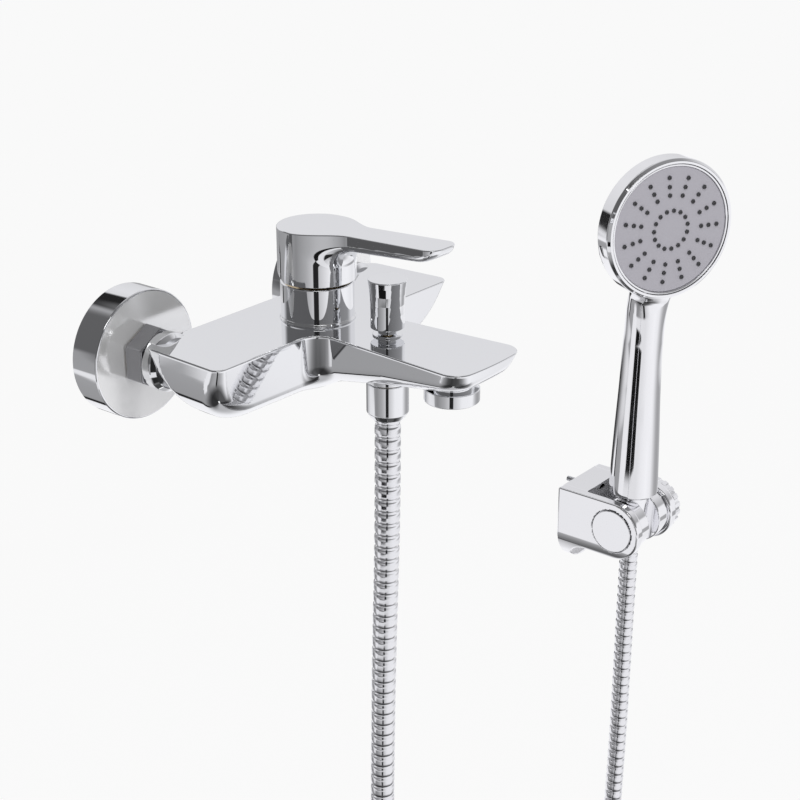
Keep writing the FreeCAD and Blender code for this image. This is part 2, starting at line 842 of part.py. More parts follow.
def cartridge_turret():
    """Turning head of the cartridge: a disc on a neck, with two cheeks for the pin."""
    disc = cylinder("turret_disc", s.turret_radius, s.turret_base_height,
                    (0, -s.tower_reach, turret_bottom))
    neck = cylinder("turret_neck", turret_neck, turret_bottom - clamp_bottom + OVERLAP,
                    (0, -s.tower_reach, clamp_bottom))
    block = box("turret_cheeks", s.cheek_outer * 2, s.cheek_half_depth * 2,
                pivot_level - turret_bottom - OVERLAP,
                (-s.cheek_outer, -s.tower_reach - s.cheek_half_depth,
                 turret_bottom + OVERLAP))
    crown = cylinder("turret_crown", s.cheek_half_depth, s.cheek_outer * 2,
                     (-s.cheek_outer, -s.tower_reach, pivot_level), ALONG_X)
    slot_half = s.stem_width / 2 + s.turning_gap
    slot_floor = pivot_level - s.stem_width
    slot_reach = s.turret_radius + OVERLAP
    slot = box("turret_slot", slot_half * 2, slot_reach * 2, s.pivot_height,
               (-slot_half, -s.tower_reach - slot_reach, slot_floor))
    hole_half = s.cheek_outer + OVERLAP
    hole = cylinder("turret_pin_hole", s.pin_radius + s.fine_gap, hole_half * 2,
                    (-hole_half, -s.tower_reach, pivot_level), ALONG_X)
    whole = fuse("turret_whole", disc, neck, block, crown)
    return node(cut("cartridge_turret", whole, slot, hole), "cartridge_turret")


cartridge_turret()
node(cylinder("pivot_pin_rod", s.pin_radius, s.cheek_outer * 2,
              (-s.cheek_outer, -s.tower_reach, pivot_level), ALONG_X), "pivot_pin")


# Lever handle

skirt_bottom = sleeve_top + s.handle_gap
handle_top = s.deck_level + s.handle_top
cap_underside = handle_top - s.handle_cap
hub_bottom = pivot_level + s.hub_above_pin
grub_level = hub_bottom + s.grub_height
stem_top = cap_underside - s.turning_gap


def cartridge_stem():
    """Square lever of the cartridge, hung on the pin inside the turret."""
    half = s.stem_width / 2
    foot = pivot_level - s.stem_below_pin
    bar = box("stem_bar", s.stem_width, s.stem_width, stem_top - foot,
              (-half, -s.tower_reach - half, foot))
    hole = cylinder("stem_pin_hole", s.pin_radius + s.fine_gap, (half + OVERLAP) * 2,
                    (-half - OVERLAP, -s.tower_reach, pivot_level), ALONG_X)
    return node(cut("cartridge_stem", bar, hole), "cartridge_stem")


def lever_blade():
    """The blade in front of the cap: flat on top, rounded below, thin at its tip.

    A row is (distance from the wall, share of the width, share of the thickness).
    """
    reach = float(s.lever_reach)
    axis = float(s.tower_reach)
    top = float(handle_top)
    thick = float(s.lever_thickness)
    root = float(s.lever_root_half)
    tip = float(s.lever_tip_half)
    rise = float(s.lever_rise)
    cap = float(s.handle_radius)
    side_share = 0.22
    rows = [
        (axis + cap * 0.55, 1.35, 1.55),
        (axis + cap * 0.95, 1.12, 1.25),
        (axis + cap * 1.35, 1.0, 1.0),
        (axis + (reach - axis) * 0.6, 1.0, 0.86),
        (reach - 9.0, 1.0, 0.80),
        (reach - 3.0, 0.98, 0.48),
        (reach, 0.95, 0.10),
    ]
    wires = []
    for y, wide, deep in rows:
        share = (y - axis) / (reach - axis)
        half = (root + (tip - root) * share) * wide
        upper = top + rise * share
        lower = upper - thick * deep
        edge = thick * deep * side_share
        left = Vector(-half, -y, upper)
        right = Vector(half, -y, upper)
        left_low = Vector(-half, -y, upper - edge)
        right_low = Vector(half, -y, upper - edge)
        wires.append(Part.Wire([
            Part.LineSegment(right, left).toShape(),
            Part.LineSegment(left, left_low).toShape(),
            Part.Arc(left_low, Vector(0, -y, lower), right_low).toShape(),
            Part.LineSegment(right_low, right).toShape(),
        ]))
    return Part.makeLoft(wires, True, True)


def handle():
    """Cap, skirt and blade in one casting, hollow over the turret."""
    edge = s.edge_break
    barrel = turned("handle_barrel", [
        (0, skirt_bottom),
        (s.handle_radius, skirt_bottom),
        (s.handle_radius, handle_top - edge),
        (s.handle_radius - edge * soft, handle_top - edge * soft),
        (s.handle_radius - edge, handle_top),
        (0, handle_top),
    ], tower)
    blade = solid("handle_blade", lever_blade())
    outside = fuse("handle_outside", barrel, blade)
    inner = s.handle_radius - s.handle_wall
    hollow = turned("handle_hollow", [
        (s.handle_hub_radius, cap_underside),
        (s.handle_hub_radius, hub_bottom),
        (0, hub_bottom),
        (0, skirt_bottom - OVERLAP),
        (inner, skirt_bottom - OVERLAP),
        (inner, cap_underside),
    ], tower)
    half = s.stem_width / 2 + s.socket_gap
    socket_bottom = hub_bottom - OVERLAP
    socket = box("handle_socket", half * 2, half * 2,
                 stem_top + s.socket_headroom - socket_bottom,
                 (-half, -s.tower_reach - half, socket_bottom))
    lift = math.radians(float(s.lift_angle))
    drop = float(pivot_level) - float(sleeve_top) - float(s.turning_gap)
    below = -2.0
    outer = float(s.handle_radius) - below
    foot = float(pivot_level) - float(skirt_bottom)
    start = (drop - foot * math.cos(lift)) / math.sin(lift)
    rear_rise = foot - (drop - outer * math.sin(lift)) / math.cos(lift)
    wedge = Part.Face(Part.makePolygon([
        Vector(-outer, start, below), Vector(-outer, start, 0),
        Vector(-outer, outer, rear_rise), Vector(-outer, outer, below),
        Vector(-outer, start, below),
    ])).extrude(Vector(2 * outer, 0, 0))
    relief = solid("handle_relief", wedge, (0, -s.tower_reach, skirt_bottom))
    grub_bore = cylinder("handle_grub_bore", s.grub_radius + s.socket_gap, s.handle_radius,
                         (0, -s.tower_reach + half, grub_level), TO_WALL)
    return node(cut("handle", outside, hollow, socket, relief, grub_bore), "handle")


cartridge_stem()
handle()
grub_start = s.stem_width / 2 + s.seat_gap
node(cylinder("grub_screw_rod", s.grub_radius,
              s.handle_hub_radius + s.grub_proud - grub_start,
              (0, -s.tower_reach + grub_start, grub_level), TO_WALL), "grub_screw")
plug_start = s.handle_radius - s.handle_wall
node(cylinder("handle_plug_disc", s.grub_radius - s.fine_gap, s.handle_wall - s.plug_sunk,
              (0, -s.tower_reach + plug_start, grub_level), TO_WALL), "handle_plug")


# Diverter: pull-up knob over the shower outlet

outlet = (0, -s.outlet_reach, 0)
gland_bottom = s.deck_level - s.gland_depth
knob_bottom = s.deck_level + s.knob_lift_off_deck
knob_top = knob_bottom + s.knob_height
gland_top = s.deck_level + s.gland_proud
piston_bottom = s.deck_level - s.diverter_cavity_depth + s.piston_clearance
piston_top = piston_bottom + s.piston_height

gland_bore = s.diverter_stem_radius + s.seat_gap
gland_outer = s.gland_radius - s.seat_gap
node(turned("diverter_gland_ring", [
    (gland_bore, gland_bottom),
    (gland_outer, gland_bottom),
    (gland_outer, gland_top - s.gland_edge),
    (gland_outer - s.gland_edge, gland_top),
    (gland_bore, gland_top),
], outlet), "diverter_gland")

flare = s.knob_top_radius - s.knob_waist_radius
node(turned("diverter_knob_body", [
    (s.diverter_stem_radius, gland_top + s.turning_gap),
    (s.knob_neck_radius, gland_top + s.turning_gap),
    (s.knob_neck_radius, knob_bottom),
    (s.knob_foot_radius - s.knob_foot_edge, knob_bottom),
    (s.knob_foot_radius, knob_bottom + s.knob_foot_edge),
    (s.knob_waist_radius, knob_bottom + s.knob_height * 0.35),
    (s.knob_waist_radius + flare * 0.35, knob_bottom + s.knob_height * 0.68),
    (s.knob_top_radius, knob_top - s.knob_foot_edge),
    (s.knob_top_radius - s.knob_foot_edge, knob_top),
    (0, knob_top),
    (0, knob_bottom + s.knob_socket_depth),
    (s.diverter_stem_radius, knob_bottom + s.knob_socket_depth),
], outlet), "diverter_knob")

node(cylinder("diverter_stem_rod", s.diverter_stem_radius - s.fine_gap,
              knob_bottom + s.knob_socket_depth - s.socket_gap - piston_top,
              (0, -s.outlet_reach, piston_top)), "diverter_stem")

piston_radius = s.diverter_cavity_radius - 0.3
node(turned("diverter_piston_disc", [
    (0, piston_bottom),
    (piston_radius - s.edge_break, piston_bottom),
    (piston_radius, piston_bottom + s.edge_break),
    (piston_radius, piston_top),
    (0, piston_top),
], outlet), "diverter_piston")


# Shower outlet: spigot, washer, hose ferrule and the smooth union nut

spigot_top = s.outlet_boss_level + s.spigot_seat_depth - s.turning_gap
spigot_bottom = s.outlet_boss_level - s.spigot_length
outlet_washer_top = spigot_bottom - s.seat_gap
outlet_washer_bottom = outlet_washer_top - s.outlet_washer_thickness
ferrule_top = outlet_washer_bottom - s.seat_gap
ferrule_shoulder = ferrule_top - s.ferrule_flange
outlet_nut_top = s.outlet_boss_level - s.outlet_nut_gap
outlet_nut_bottom = outlet_nut_top - s.outlet_nut_length
ferrule_radius = s.hose_radius - s.turning_gap

node(ring("outlet_spigot_tube", s.spigot_bore, s.spigot_radius, spigot_bottom,
          spigot_top, outlet), "outlet_spigot")
node(ring("outlet_washer_flat", s.spigot_bore, s.spigot_radius, outlet_washer_bottom,
          outlet_washer_top, outlet), "outlet_washer")


def hose_ferrule(name, bore, tail, at, turn=UPRIGHT):
    """Flanged collar crimped on a hose end: flange on top, the tail towards the hose."""
    return node(turned(name + "_collar", [
        (bore, tail), (ferrule_radius, tail), (ferrule_radius, -s.ferrule_flange),
        (s.spigot_radius, -s.ferrule_flange), (s.spigot_radius, 0), (bore, 0),
    ], at, turn), name)


hose_ferrule("hose_ferrule_outlet", s.hose_bore, outlet_nut_bottom - ferrule_top,
             (0, -s.outlet_reach, ferrule_top))

node(turned("outlet_nut_shell", [
    (ferrule_radius + s.seat_gap, outlet_nut_bottom),
    (s.outlet_nut_radius - s.outlet_nut_narrowing, outlet_nut_bottom),
    (s.outlet_nut_radius, outlet_nut_bottom + s.outlet_nut_taper),
    (s.outlet_nut_radius, outlet_nut_top - s.outlet_nut_gap),
    (s.outlet_nut_radius - s.outlet_nut_gap, outlet_nut_top),
    (s.spigot_radius + s.seat_gap, outlet_nut_top),
    (s.spigot_radius + s.seat_gap, ferrule_shoulder - s.seat_gap),
    (ferrule_radius + s.seat_gap, ferrule_shoulder - s.seat_gap),
], outlet), "outlet_nut")


# Aerator under the spout tip

aerator = (0, -aerator_reach, 0)
stem_roof = s.aerator_seam_level + s.aerator_stem_length
inlet_radius = s.aerator_stem_radius - s.aerator_wall

node(turned("aerator_housing_shell", [
    (s.aerator_radius - s.aerator_wall, s.aerator_level),
    (s.aerator_radius - s.aerator_edge, s.aerator_level),
    (s.aerator_radius, s.aerator_level + s.aerator_edge),
    (s.aerator_radius, s.aerator_seam_level - s.seat_gap),
    (s.aerator_stem_radius, s.aerator_seam_level - s.seat_gap),
    (s.aerator_stem_radius, stem_roof),
    (inlet_radius, stem_roof),
    (inlet_radius, s.aerator_seam_level - s.aerator_flange),
    (s.aerator_radius - s.aerator_wall, s.aerator_seam_level - s.aerator_flange),
], aerator), "aerator_housing")

node(ring("aerator_washer_flat", inlet_radius, s.aerator_stem_radius,
          stem_roof + s.seat_gap, stem_roof + s.seat_gap + s.aerator_washer_thickness,
          aerator), "aerator_washer")


def aerator_insert():
    """Plastic insert with a square grid that straightens the jet."""
    bottom = s.aerator_level + s.aerator_recess
    top = s.aerator_seam_level - s.aerator_flange - s.seat_gap
    outer = s.aerator_radius - s.aerator_wall - s.seat_gap
    bore = outer - s.aerator_flange
    rim = ring("aerator_insert_rim", bore, outer, bottom, top, aerator)
    bars = [rim]
    pitch = bore / 2.5
    bar = s.aerator_bar
    deep = s.aerator_bar_depth
    for index, share in enumerate((0.66, 0.90, 0.92, 0.90, 0.66)):
        across = (index - 2) * pitch
        half = bore * share + OVERLAP
        bars.append(box("aerator_bar_x%d" % index, half * 2, bar, deep,
                        (-half, -aerator_reach + across - bar / 2, bottom)))
        bars.append(box("aerator_bar_y%d" % index, bar, half * 2, deep,
                        (across - bar / 2, -aerator_reach - half, bottom)))
    return node(fuse("aerator_insert_grid", *bars), "aerator_insert")


aerator_insert()


# Wall bracket, with two half cups that tilt between its arms

centre = s.bracket_centre
pivot = (centre, -s.pivot_reach, s.pivot_level)
arm_inner = s.bracket_inner_half
arm_outer = arm_inner + s.arm_thickness


def side_face(points):
    """A flat face in the YZ plane from (y, z) lines and (y, z, mid y, mid z) arcs."""
    edges = []
    for index, here in enumerate(points):
        start = Vector(0, here[0], here[1])
        following = points[(index + 1) % len(points)]
        end = Vector(0, following[0], following[1])
        if len(here) == 4:
            edges.append(Part.Arc(start, Vector(0, here[2], here[3]), end).toShape())
        else:
            edges.append(Part.LineSegment(start, end).toShape())
    return Part.Face(Part.Wire(edges))


def bracket_body():
    """Wall plate with a round lower end, a scooped underside and two round arms."""
    radius = float(s.arm_radius)
    reach = float(s.pivot_reach)
    level = float(s.pivot_level)
    half = float(arm_outer)
    thick = float(s.arm_thickness)
    top = level + radius
    foot = top - float(s.bracket_height)
    low = level - radius
    foot_depth = float(s.bracket_foot_depth)
    block_depth = float(s.bracket_block_depth)
    scoop = float(s.scoop_radius)
    scoop_y = -(foot_depth + scoop)
    scoop_z = low - scoop
    diagonal = scoop * math.sqrt(0.5)
    arm = side_face([
        (0, foot), (-foot_depth, foot),
        (-foot_depth, scoop_z, scoop_y + diagonal, scoop_z + diagonal),
        (scoop_y, low), (-reach, low, -reach - radius, level), (-reach, top), (0, top),
    ])
    step = 0.5
    block = side_face([
        (0, foot), (-foot_depth, foot),
        (-foot_depth, scoop_z, scoop_y + diagonal, scoop_z + diagonal),
        (scoop_y, low), (scoop_y, low + step), (-block_depth, low + step),
        (-block_depth, top), (0, top),
    ])
    arms = []
    for side in (-1, 1):
        plate = arm.extrude(Vector(thick * side, 0, 0))
        outer = [edge for edge in plate.Edges
                 if abs(edge.BoundBox.XMin - thick * side) < 1e-6
                 and abs(edge.BoundBox.XMax - thick * side) < 1e-6
                 and edge.BoundBox.YMin < -foot_depth - 1
                 and edge.BoundBox.ZMax > low - 1]
        plate = plate.makeFillet(float(s.arm_edge), outer)
        plate.translate(Vector((half - thick) * side, 0, 0))
        arms.append(plate)
    middle = block.extrude(Vector(2 * half - 2 * thick, 0, 0))
    middle.translate(Vector(-half + thick, 0, 0))
    whole = middle.fuse(arms)
    outline = Part.Face(Part.Wire([
        Part.LineSegment(Vector(half, 0, foot + half), Vector(half, 0, top)).toShape(),
        Part.LineSegment(Vector(half, 0, top), Vector(-half, 0, top)).toShape(),
        Part.LineSegment(Vector(-half, 0, top), Vector(-half, 0, foot + half)).toShape(),
        Part.Arc(Vector(-half, 0, foot + half), Vector(0, 0, foot),
                 Vector(half, 0, foot + half)).toShape(),
    ])).extrude(Vector(0, -reach - radius - 1, 0))
    shape = solid("bracket_body_plates", whole.common(outline), (centre, 0, 0))
    tools = []
    journal_bore = s.journal_radius + s.turning_gap / 2
    tool_start = (centre - arm_outer - OVERLAP, -s.pivot_reach, s.pivot_level)
    tools.append(cylinder("bracket_journal_bore", journal_bore,
                          (arm_outer + OVERLAP) * 2, tool_start, ALONG_X))
    tools.append(cylinder("bracket_cap_recess", s.cap_radius + s.seat_gap,
                          s.cap_recess + OVERLAP, tool_start, ALONG_X))
    for index, level_at in enumerate(screw_levels):
        tools.append(cylinder("bracket_screw_hole_%d" % index,
                              s.bracket_screw_radius + s.seat_gap,
                              s.bracket_block_depth + OVERLAP * 2,
                              (centre, OVERLAP, level_at), FROM_WALL))
        tools.append(cone("bracket_screw_sink_%d" % index,
                          s.bracket_screw_radius + s.seat_gap,
                          screw_head_radius + s.seat_gap, s.screw_head_length,
                          (centre, s.screw_head_length - s.bracket_block_depth, level_at),
                          FROM_WALL))
    return node(cut("bracket_body", shape, *tools), "bracket_body")


screw_head_radius = s.bracket_screw_radius * 2.1
screw_middle = s.pivot_level + s.bracket_screw_rise
screw_levels = (screw_middle + s.bracket_screw_spacing / 2,
                screw_middle - s.bracket_screw_spacing / 2)
bracket_body()
for index, level_at in enumerate(screw_levels):
    name = "bracket_screw_%s" % ("upper", "lower")[index]
    thread = cylinder(name + "_thread", s.bracket_screw_radius, s.bracket_screw_reach,
                      (centre, s.bracket_screw_reach, level_at), FROM_WALL)
    shank = cylinder(name + "_shank", s.bracket_screw_radius - s.seat_gap,
                     s.bracket_block_depth - OVERLAP, (centre, s.seat_gap, level_at),
                     FROM_WALL)
    head = cone(name + "_head", s.bracket_screw_radius - s.seat_gap,
                screw_head_radius - s.seat_gap, s.screw_head_length,
                (centre, s.screw_head_length - s.bracket_block_depth, level_at),
                FROM_WALL)
    node(fuse(name + "_whole", thread, shank, head), name)


def cone_radius_at(height):
    """Radius of the hand shower's conical nut at a height above the pivot."""
    share = (height - float(s.cone_bottom)) / float(s.cone_top - s.cone_bottom)
    narrow = float(s.cone_bottom_radius)
    return narrow + (float(s.cone_top_radius) - narrow) * share


LEAN = Rotation(Vector(1, 0, 0), float(s.holder_lean))


def cup(name, side):
    """Half cup: a disc with a conical groove, and the journal it turns on."""
    slot = float(s.cup_slot_half)
    gap = float(s.turning_gap)
    inner = float(arm_inner)
    radius = float(s.cup_radius)
    thickness = inner - gap - slot
    disc = Part.makeCylinder(radius, thickness, Vector(slot * side, 0, 0),
                             Vector(side, 0, 0))
    rim = [edge for edge in disc.Edges if len(edge.Vertexes) == 1]
    disc = disc.makeChamfer(float(s.cup_edge), rim)
    start = inner - gap - float(OVERLAP)
    end = inner + float(s.arm_thickness) - float(s.cap_recess) - gap
    journal = Part.makeCylinder(float(s.journal_radius), end - start,
                                Vector(start * side, 0, 0), Vector(side, 0, 0))
    clear = float(s.seat_gap)
    height = 2 * radius + 2
    groove = Part.makeCone(cone_radius_at(-height / 2) + clear,
                           cone_radius_at(height / 2) + clear, height,
                           Vector(0, 0, -height / 2), Vector(0, 0, 1))
    shape = disc.fuse(journal).cut(groove)
    return node(solid(name + "_solid", shape, pivot, LEAN), name)


cup("holder_cup_left", -1)
cup("holder_cup_right", 1)

node(turned("bracket_cap_disc", [
    (0, 0), (s.cap_radius, 0), (s.cap_radius, s.cap_thickness - s.cap_edge),
    (s.cap_radius - s.cap_edge, s.cap_thickness), (0, s.cap_thickness),
], (centre - arm_outer + s.cap_recess - s.seat_gap / 2, -s.pivot_reach, s.pivot_level),
    TO_LEFT), "bracket_cap")


def clamp_knob():
    """Round knob with a gripping rim, screwed on the right-hand journal."""
    radius = float(s.knob_rim_radius)
    length = float(s.knob_rim_length)
    depth = float(s.knob_grip_depth)
    count = int(round(float(s.knob_grips)))
    knob = Part.makeCylinder(radius, length)
    rims = [edge for edge in knob.Edges if len(edge.Vertexes) == 1]
    knob = knob.makeChamfer(float(s.knob_rim_edge), rims)
    width = math.pi * radius / count
    notch = Part.makeBox(depth * 2, width, length,
                         Vector(radius - depth, -width / 2, float(s.knob_base_length)))
    for index in range(count):
        cutter = notch.copy()
        cutter.rotate(Vector(0, 0, 0), Vector(0, 0, 1), index * 360.0 / count)
        knob = knob.cut(cutter)
    return solid("clamp_knob_blank", knob,
                 (centre + arm_outer + s.turning_gap, -s.pivot_reach, s.pivot_level),
                 ALONG_X)


node(clamp_knob(), "clamp_knob")


# Hand shower, built along its own axis and set in the cups

held = Placement(Vector(*[float(c) for c in pivot]), LEAN).multiply(
    Placement(Vector(0, 0, 0), Rotation(Vector(0, 0, 1), -float(s.handset_turn))))


def set_in_holder(obj, ahead=None, above=None, turn=UPRIGHT):
    """Puts a piece that was drawn about the hand shower's own axis in the holder.

    A piece of the head also lies ahead of the axis, above the pivot and turned.
    """
    ahead = Dim(0.0) if ahead is None else ahead
    above = Dim(0.0) if above is None else above
    obj.Placement = held.multiply(
        Placement(Vector(0, -float(ahead), float(above)), turn))
    facing = held.Rotation.multVec(Vector(0, -1, 0))
    rising = held.Rotation.multVec(Vector(0, 0, 1))
    for axis, coordinate, out, up in zip("xyz", pivot, facing, rising):
        place = coordinate + ahead * out + above * up
        obj.setExpression("Placement.Base." + axis, place.text)
    return obj


grip_foot = s.cone_top + s.turning_gap
nipple_bottom = s.cone_top - s.nipple_in_nut
cone_washer_top = nipple_bottom - s.seat_gap
cone_washer_bottom = cone_washer_top - s.outlet_washer_thickness
cone_ferrule_top = cone_washer_bottom - s.seat_gap
cone_shoulder = cone_ferrule_top - s.ferrule_flange - s.seat_gap

set_in_holder(node(turned("cone_nut_shell", [
    (ferrule_radius + s.seat_gap, s.cone_bottom),
    (s.cone_bottom_radius, s.cone_bottom),
    (s.cone_top_radius, s.cone_top),
    (s.cone_wall_top, s.cone_top),
    (s.cone_wall_top, cone_shoulder),
    (ferrule_radius + s.seat_gap, cone_shoulder),
]), "cone_nut"))
set_in_holder(node(ring("cone_washer_flat", s.spigot_bore, s.spigot_radius,
                        cone_washer_bottom, cone_washer_top), "cone_washer"))
set_in_holder(node(turned("hose_ferrule_cone_collar", [
    (s.hose_bore, s.cone_bottom), (ferrule_radius, s.cone_bottom),
    (ferrule_radius, cone_ferrule_top - s.ferrule_flange),
    (s.spigot_radius, cone_ferrule_top - s.ferrule_flange),
    (s.spigot_radius, cone_ferrule_top), (s.hose_bore, cone_ferrule_top),
]), "hose_ferrule_cone"))


# Rows of the grip: (share of its height, share of the flare from waist to foot).
GRIP_ROWS = [(0.0, 1.0), (0.12, 0.77), (0.28, 0.45), (0.45, 0.18), (0.62, 0.05)]

# Rows of the neck: (height over the head's lowest point, share of the way to the
# head's middle, width for the neck's width, depth for the waist's depth).
NECK_ROWS = [
    (-19.3, 0.12, 1.0, 0.98),
    (6.0, 0.45, 1.32, 0.80),
    (20.0, 0.72, 1.85, 0.58),
    (36.0, 0.85, 2.1, 0.42),
]

# Rows of the domed back, as shares of the head's radius, and how full the dome is.
DOME_ROWS = [0.92, 0.78, 0.58, 0.32]
DOME_POWER = 2.6


def grip_wire(height, forward, across, deep):
    """Level oval of the grip or neck, moved towards the face by forward."""
    oval = Part.Ellipse(Vector(0, -forward, height), across, min(deep, across - 0.01))
    return Part.Wire([oval.toShape()])


def handset_shell():
    """One moulding: waisted grip, flared neck and round head, open at the face."""
    foot = float(grip_foot)
    level = float(s.head_level)
    head = float(s.head_radius)
    face = float(s.head_face)
    foot_radius = float(s.grip_foot_radius)
    waist = float(s.grip_waist_radius)
    neck = float(s.grip_neck_radius)
    back = float(s.head_back)
    rim = float(s.head_rim_depth)
    neck_level = level - head
    middle = (face + back) / 2
    rows = []
    for share, swell in GRIP_ROWS:
        radius = waist + (foot_radius - waist) * swell
        rows.append((foot + (neck_level - foot) * share, 0.0, radius, radius))
    for rise, forward, wide, deep in NECK_ROWS:
        rows.append((neck_level + rise, middle * forward, neck * wide, waist * deep))
    grip = Part.makeLoft([grip_wire(*row) for row in rows], True, True)
    dome = back - float(s.head_dome)
    edge = float(s.head_edge)
    rear = -face + rim
    outline = [
        (0, -dome), (0, -face), (head - edge, -face),
        (head - edge * soft, -face + edge * soft), (head, -face + edge),
        (head - float(s.head_rim_taper), rear),
    ]
    for share in DOME_ROWS:
        swell = 1 - share ** DOME_POWER
        outline.append((head * share, rear + (-dome - rear) * swell))
    outline.append(outline[0])
    half_section = Part.Face(Part.makePolygon([Vector(r, y, 0) for r, y in outline]))
    disc = half_section.revolve(Vector(0, 0, 0), Vector(0, 1, 0), 360)
    disc.translate(Vector(0, 0, level))
    shell = grip.fuse(disc)
    lap = float(OVERLAP)
    wall = float(s.handset_wall)
    bore = float(s.handset_bore)
    pocket_depth = float(s.face_plate_thickness + s.nozzle_mat_thickness + s.seat_gap * 2)
    front = Vector(0, -face - lap, level)
    inward = Vector(0, 1, 0)
    pocket = Part.makeCylinder(float(s.face_radius), pocket_depth + lap, front, inward)
    chamber = Part.makeCylinder(float(s.face_radius) - wall, pocket_depth + wall,
                                front, inward)
    socket = Part.makeCylinder(float(s.spigot_radius + s.seat_gap),
                               float(s.nipple_depth) + 2 * lap, Vector(0, 0, foot - lap))
    bend_start = Vector(0, 0, neck_level - head * 0.44)
    bend_end = Vector(0, -face + pocket_depth + 2 * lap, level - head * 0.56)
    passage = Part.makeCylinder(bore, bend_start.z + 4 * lap - foot, Vector(0, 0, foot))
    bend = Part.makeCylinder(bore * 0.7, (bend_end - bend_start).Length,
                             bend_start, bend_end - bend_start)
    return shell.cut(pocket.fuse(chamber)).cut(socket).cut(passage.fuse(bend))


handset = solid("handset_shell_moulding", handset_shell())
set_in_holder(node(handset, "handset_shell"))
set_in_holder(node(ring("handset_nipple_tube", s.spigot_bore, s.spigot_radius,
                        nipple_bottom, s.cone_top + s.nipple_depth), "handset_nipple"))


# Circles of nozzles: (share of the head's radius, share of the step between spokes).
NOZZLE_ROWS = [(0.27, 0.5), (0.49, 0.0), (0.61, 0.0), (0.74, 0.0)]


def face_points():
    """Centres of the nozzles: one inner ring and three more on each spoke."""
    head = float(s.head_radius)
    spokes = int(round(float(s.nozzle_spokes)))
    points = []
    for share, phase in NOZZLE_ROWS:
        for index in range(spokes):
            angle = 2 * math.pi * (index + phase) / spokes
            points.append((head * share * math.cos(angle),
                           head * share * math.sin(angle), angle))
    return points


def prism(x, y, angle, radius, height, base):
    """Six-sided nozzle or its hole, square to the face."""
    corners = []
    for index in range(7):
        turn = angle + index * math.pi / 3
        corners.append(Vector(x + radius * math.cos(turn),
                              y + radius * math.sin(turn), base))
    return Part.Face(Part.makePolygon(corners)).extrude(Vector(0, 0, height))


face_turn = Rotation(Vector(1, 0, 0), 90)
mat_base = s.seat_gap
plate_base = s.seat_gap * 2 + s.nozzle_mat_thickness
pocket_floor = s.head_face - s.face_plate_thickness - s.nozzle_mat_thickness - s.seat_gap * 2
face_place = (pocket_floor, s.head_level, face_turn)


def face_plate():
    """Satin plate with a hole for each nozzle."""
    plate = Part.makeCylinder(float(s.face_plate_radius), float(s.face_plate_thickness),
                              Vector(0, 0, float(plate_base)))
    hole_radius = float(s.nozzle_radius + s.nozzle_clearance)
    depth = float(s.face_plate_thickness + OVERLAP * 2)
    holes = []
    for x, y, angle in face_points():
        holes.append(prism(x, y, angle, hole_radius, depth, float(plate_base - OVERLAP)))
    return plate.cut(Part.makeCompound(holes))


def nozzle_mat():
    """Soft mat behind the plate, with the nozzles that stand through it."""
    thickness = float(s.nozzle_mat_thickness)
    mat = Part.makeCylinder(float(s.face_plate_radius - s.mat_inset), thickness,
                            Vector(0, 0, float(mat_base)))
    sunk = thickness / 2
    height = sunk + float(s.face_plate_thickness + s.nozzle_height + s.seat_gap)
    base = float(mat_base) + sunk
    teats = []
    for x, y, angle in face_points():
        teats.append(prism(x, y, angle, float(s.nozzle_radius), height, base))
    return mat.fuse(teats)


set_in_holder(node(solid("face_plate_disc", face_plate()), "face_plate"), *face_place)
set_in_holder(node(solid("nozzle_mat_disc", nozzle_mat()), "nozzle_mat"), *face_place)
trim_inner = s.face_plate_radius + s.seat_gap
trim_outer = s.face_radius - s.seat_gap
trim_top = plate_base + s.face_plate_thickness + s.trim_proud
set_in_holder(node(turned("trim_ring_hoop", [
    (trim_inner, s.seat_gap),
    (trim_outer, s.seat_gap),
    (trim_outer, trim_top - s.fine_edge),
    (trim_outer - s.fine_edge, trim_top),
    (trim_inner, trim_top),
]), "trim_ring"), *face_place)


# Shower hose: a ribbed tube that hangs in a loop from the outlet to the cone nut

ROUTE = [
    (0.0, -117.8, -33.3),
    (0.0, -117.8, -92.0),
    (2.0, -112.8, -184.0),
    (6.0, -107.8, -300.0),
    (12.0, -103.0, -424.0),
    (22.0, -98.0, -550.0),
    (40.0, -93.0, -664.0),
    (77.0, -87.5, -763.0),
    (140.0, -81.0, -829.0),
    (222.0, -74.5, -833.0),
    (294.0, -67.5, -777.0),
    (337.0, -61.5, -686.0),
    (360.0, -56.0, -582.0),
    (373.0, -51.5, -474.0),
    (379.0, -48.5, -395.5),
    (381.0, -47.334, -337.347),
    (381.0, -47.825, -280.999),
]


# Share of a rib's pitch that each of its sloping sides takes.
RIB_SIDE = 0.14

# Share of the shorter of two runs that the arc between them uses.
ARC_SHARE = 0.45


def route_path(points):
    """Straight runs joined by tangent arcs, each as large as its two runs allow."""
    pieces = []
    radii = []
    start = points[0]
    for index in range(1, len(points) - 1):
        here = points[index]
        before = here - points[index - 1]
        after = points[index + 1] - here
        shorter = min(before.Length, after.Length)
        before.normalize()
        after.normalize()
        turn = before.getAngle(after)
        reach = ARC_SHARE * shorter
        radius = reach / math.tan(turn / 2)
        radii.append(radius)
        arc_start = here - before * reach
        arc_end = here + after * reach
        bisector = (after - before).normalize()
        middle = here + bisector * (radius / math.cos(turn / 2) - radius)
        pieces.append(Part.LineSegment(start, arc_start))
        pieces.append(Part.Arc(arc_start, middle, arc_end))
        start = arc_end
    pieces.append(Part.LineSegment(start, points[-1]))
    return pieces, radii


def along(pieces, lengths, distance):
    """Point and direction at a distance along the path."""
    for piece, length in zip(pieces, lengths):
        if distance <= length or piece is pieces[-1]:
            share = min(distance / length, 1.0)
            first, last = piece.FirstParameter, piece.LastParameter
            parameter = first + (last - first) * share
            return piece.value(parameter), Vector(*piece.tangent(parameter)[0])
        distance -= length


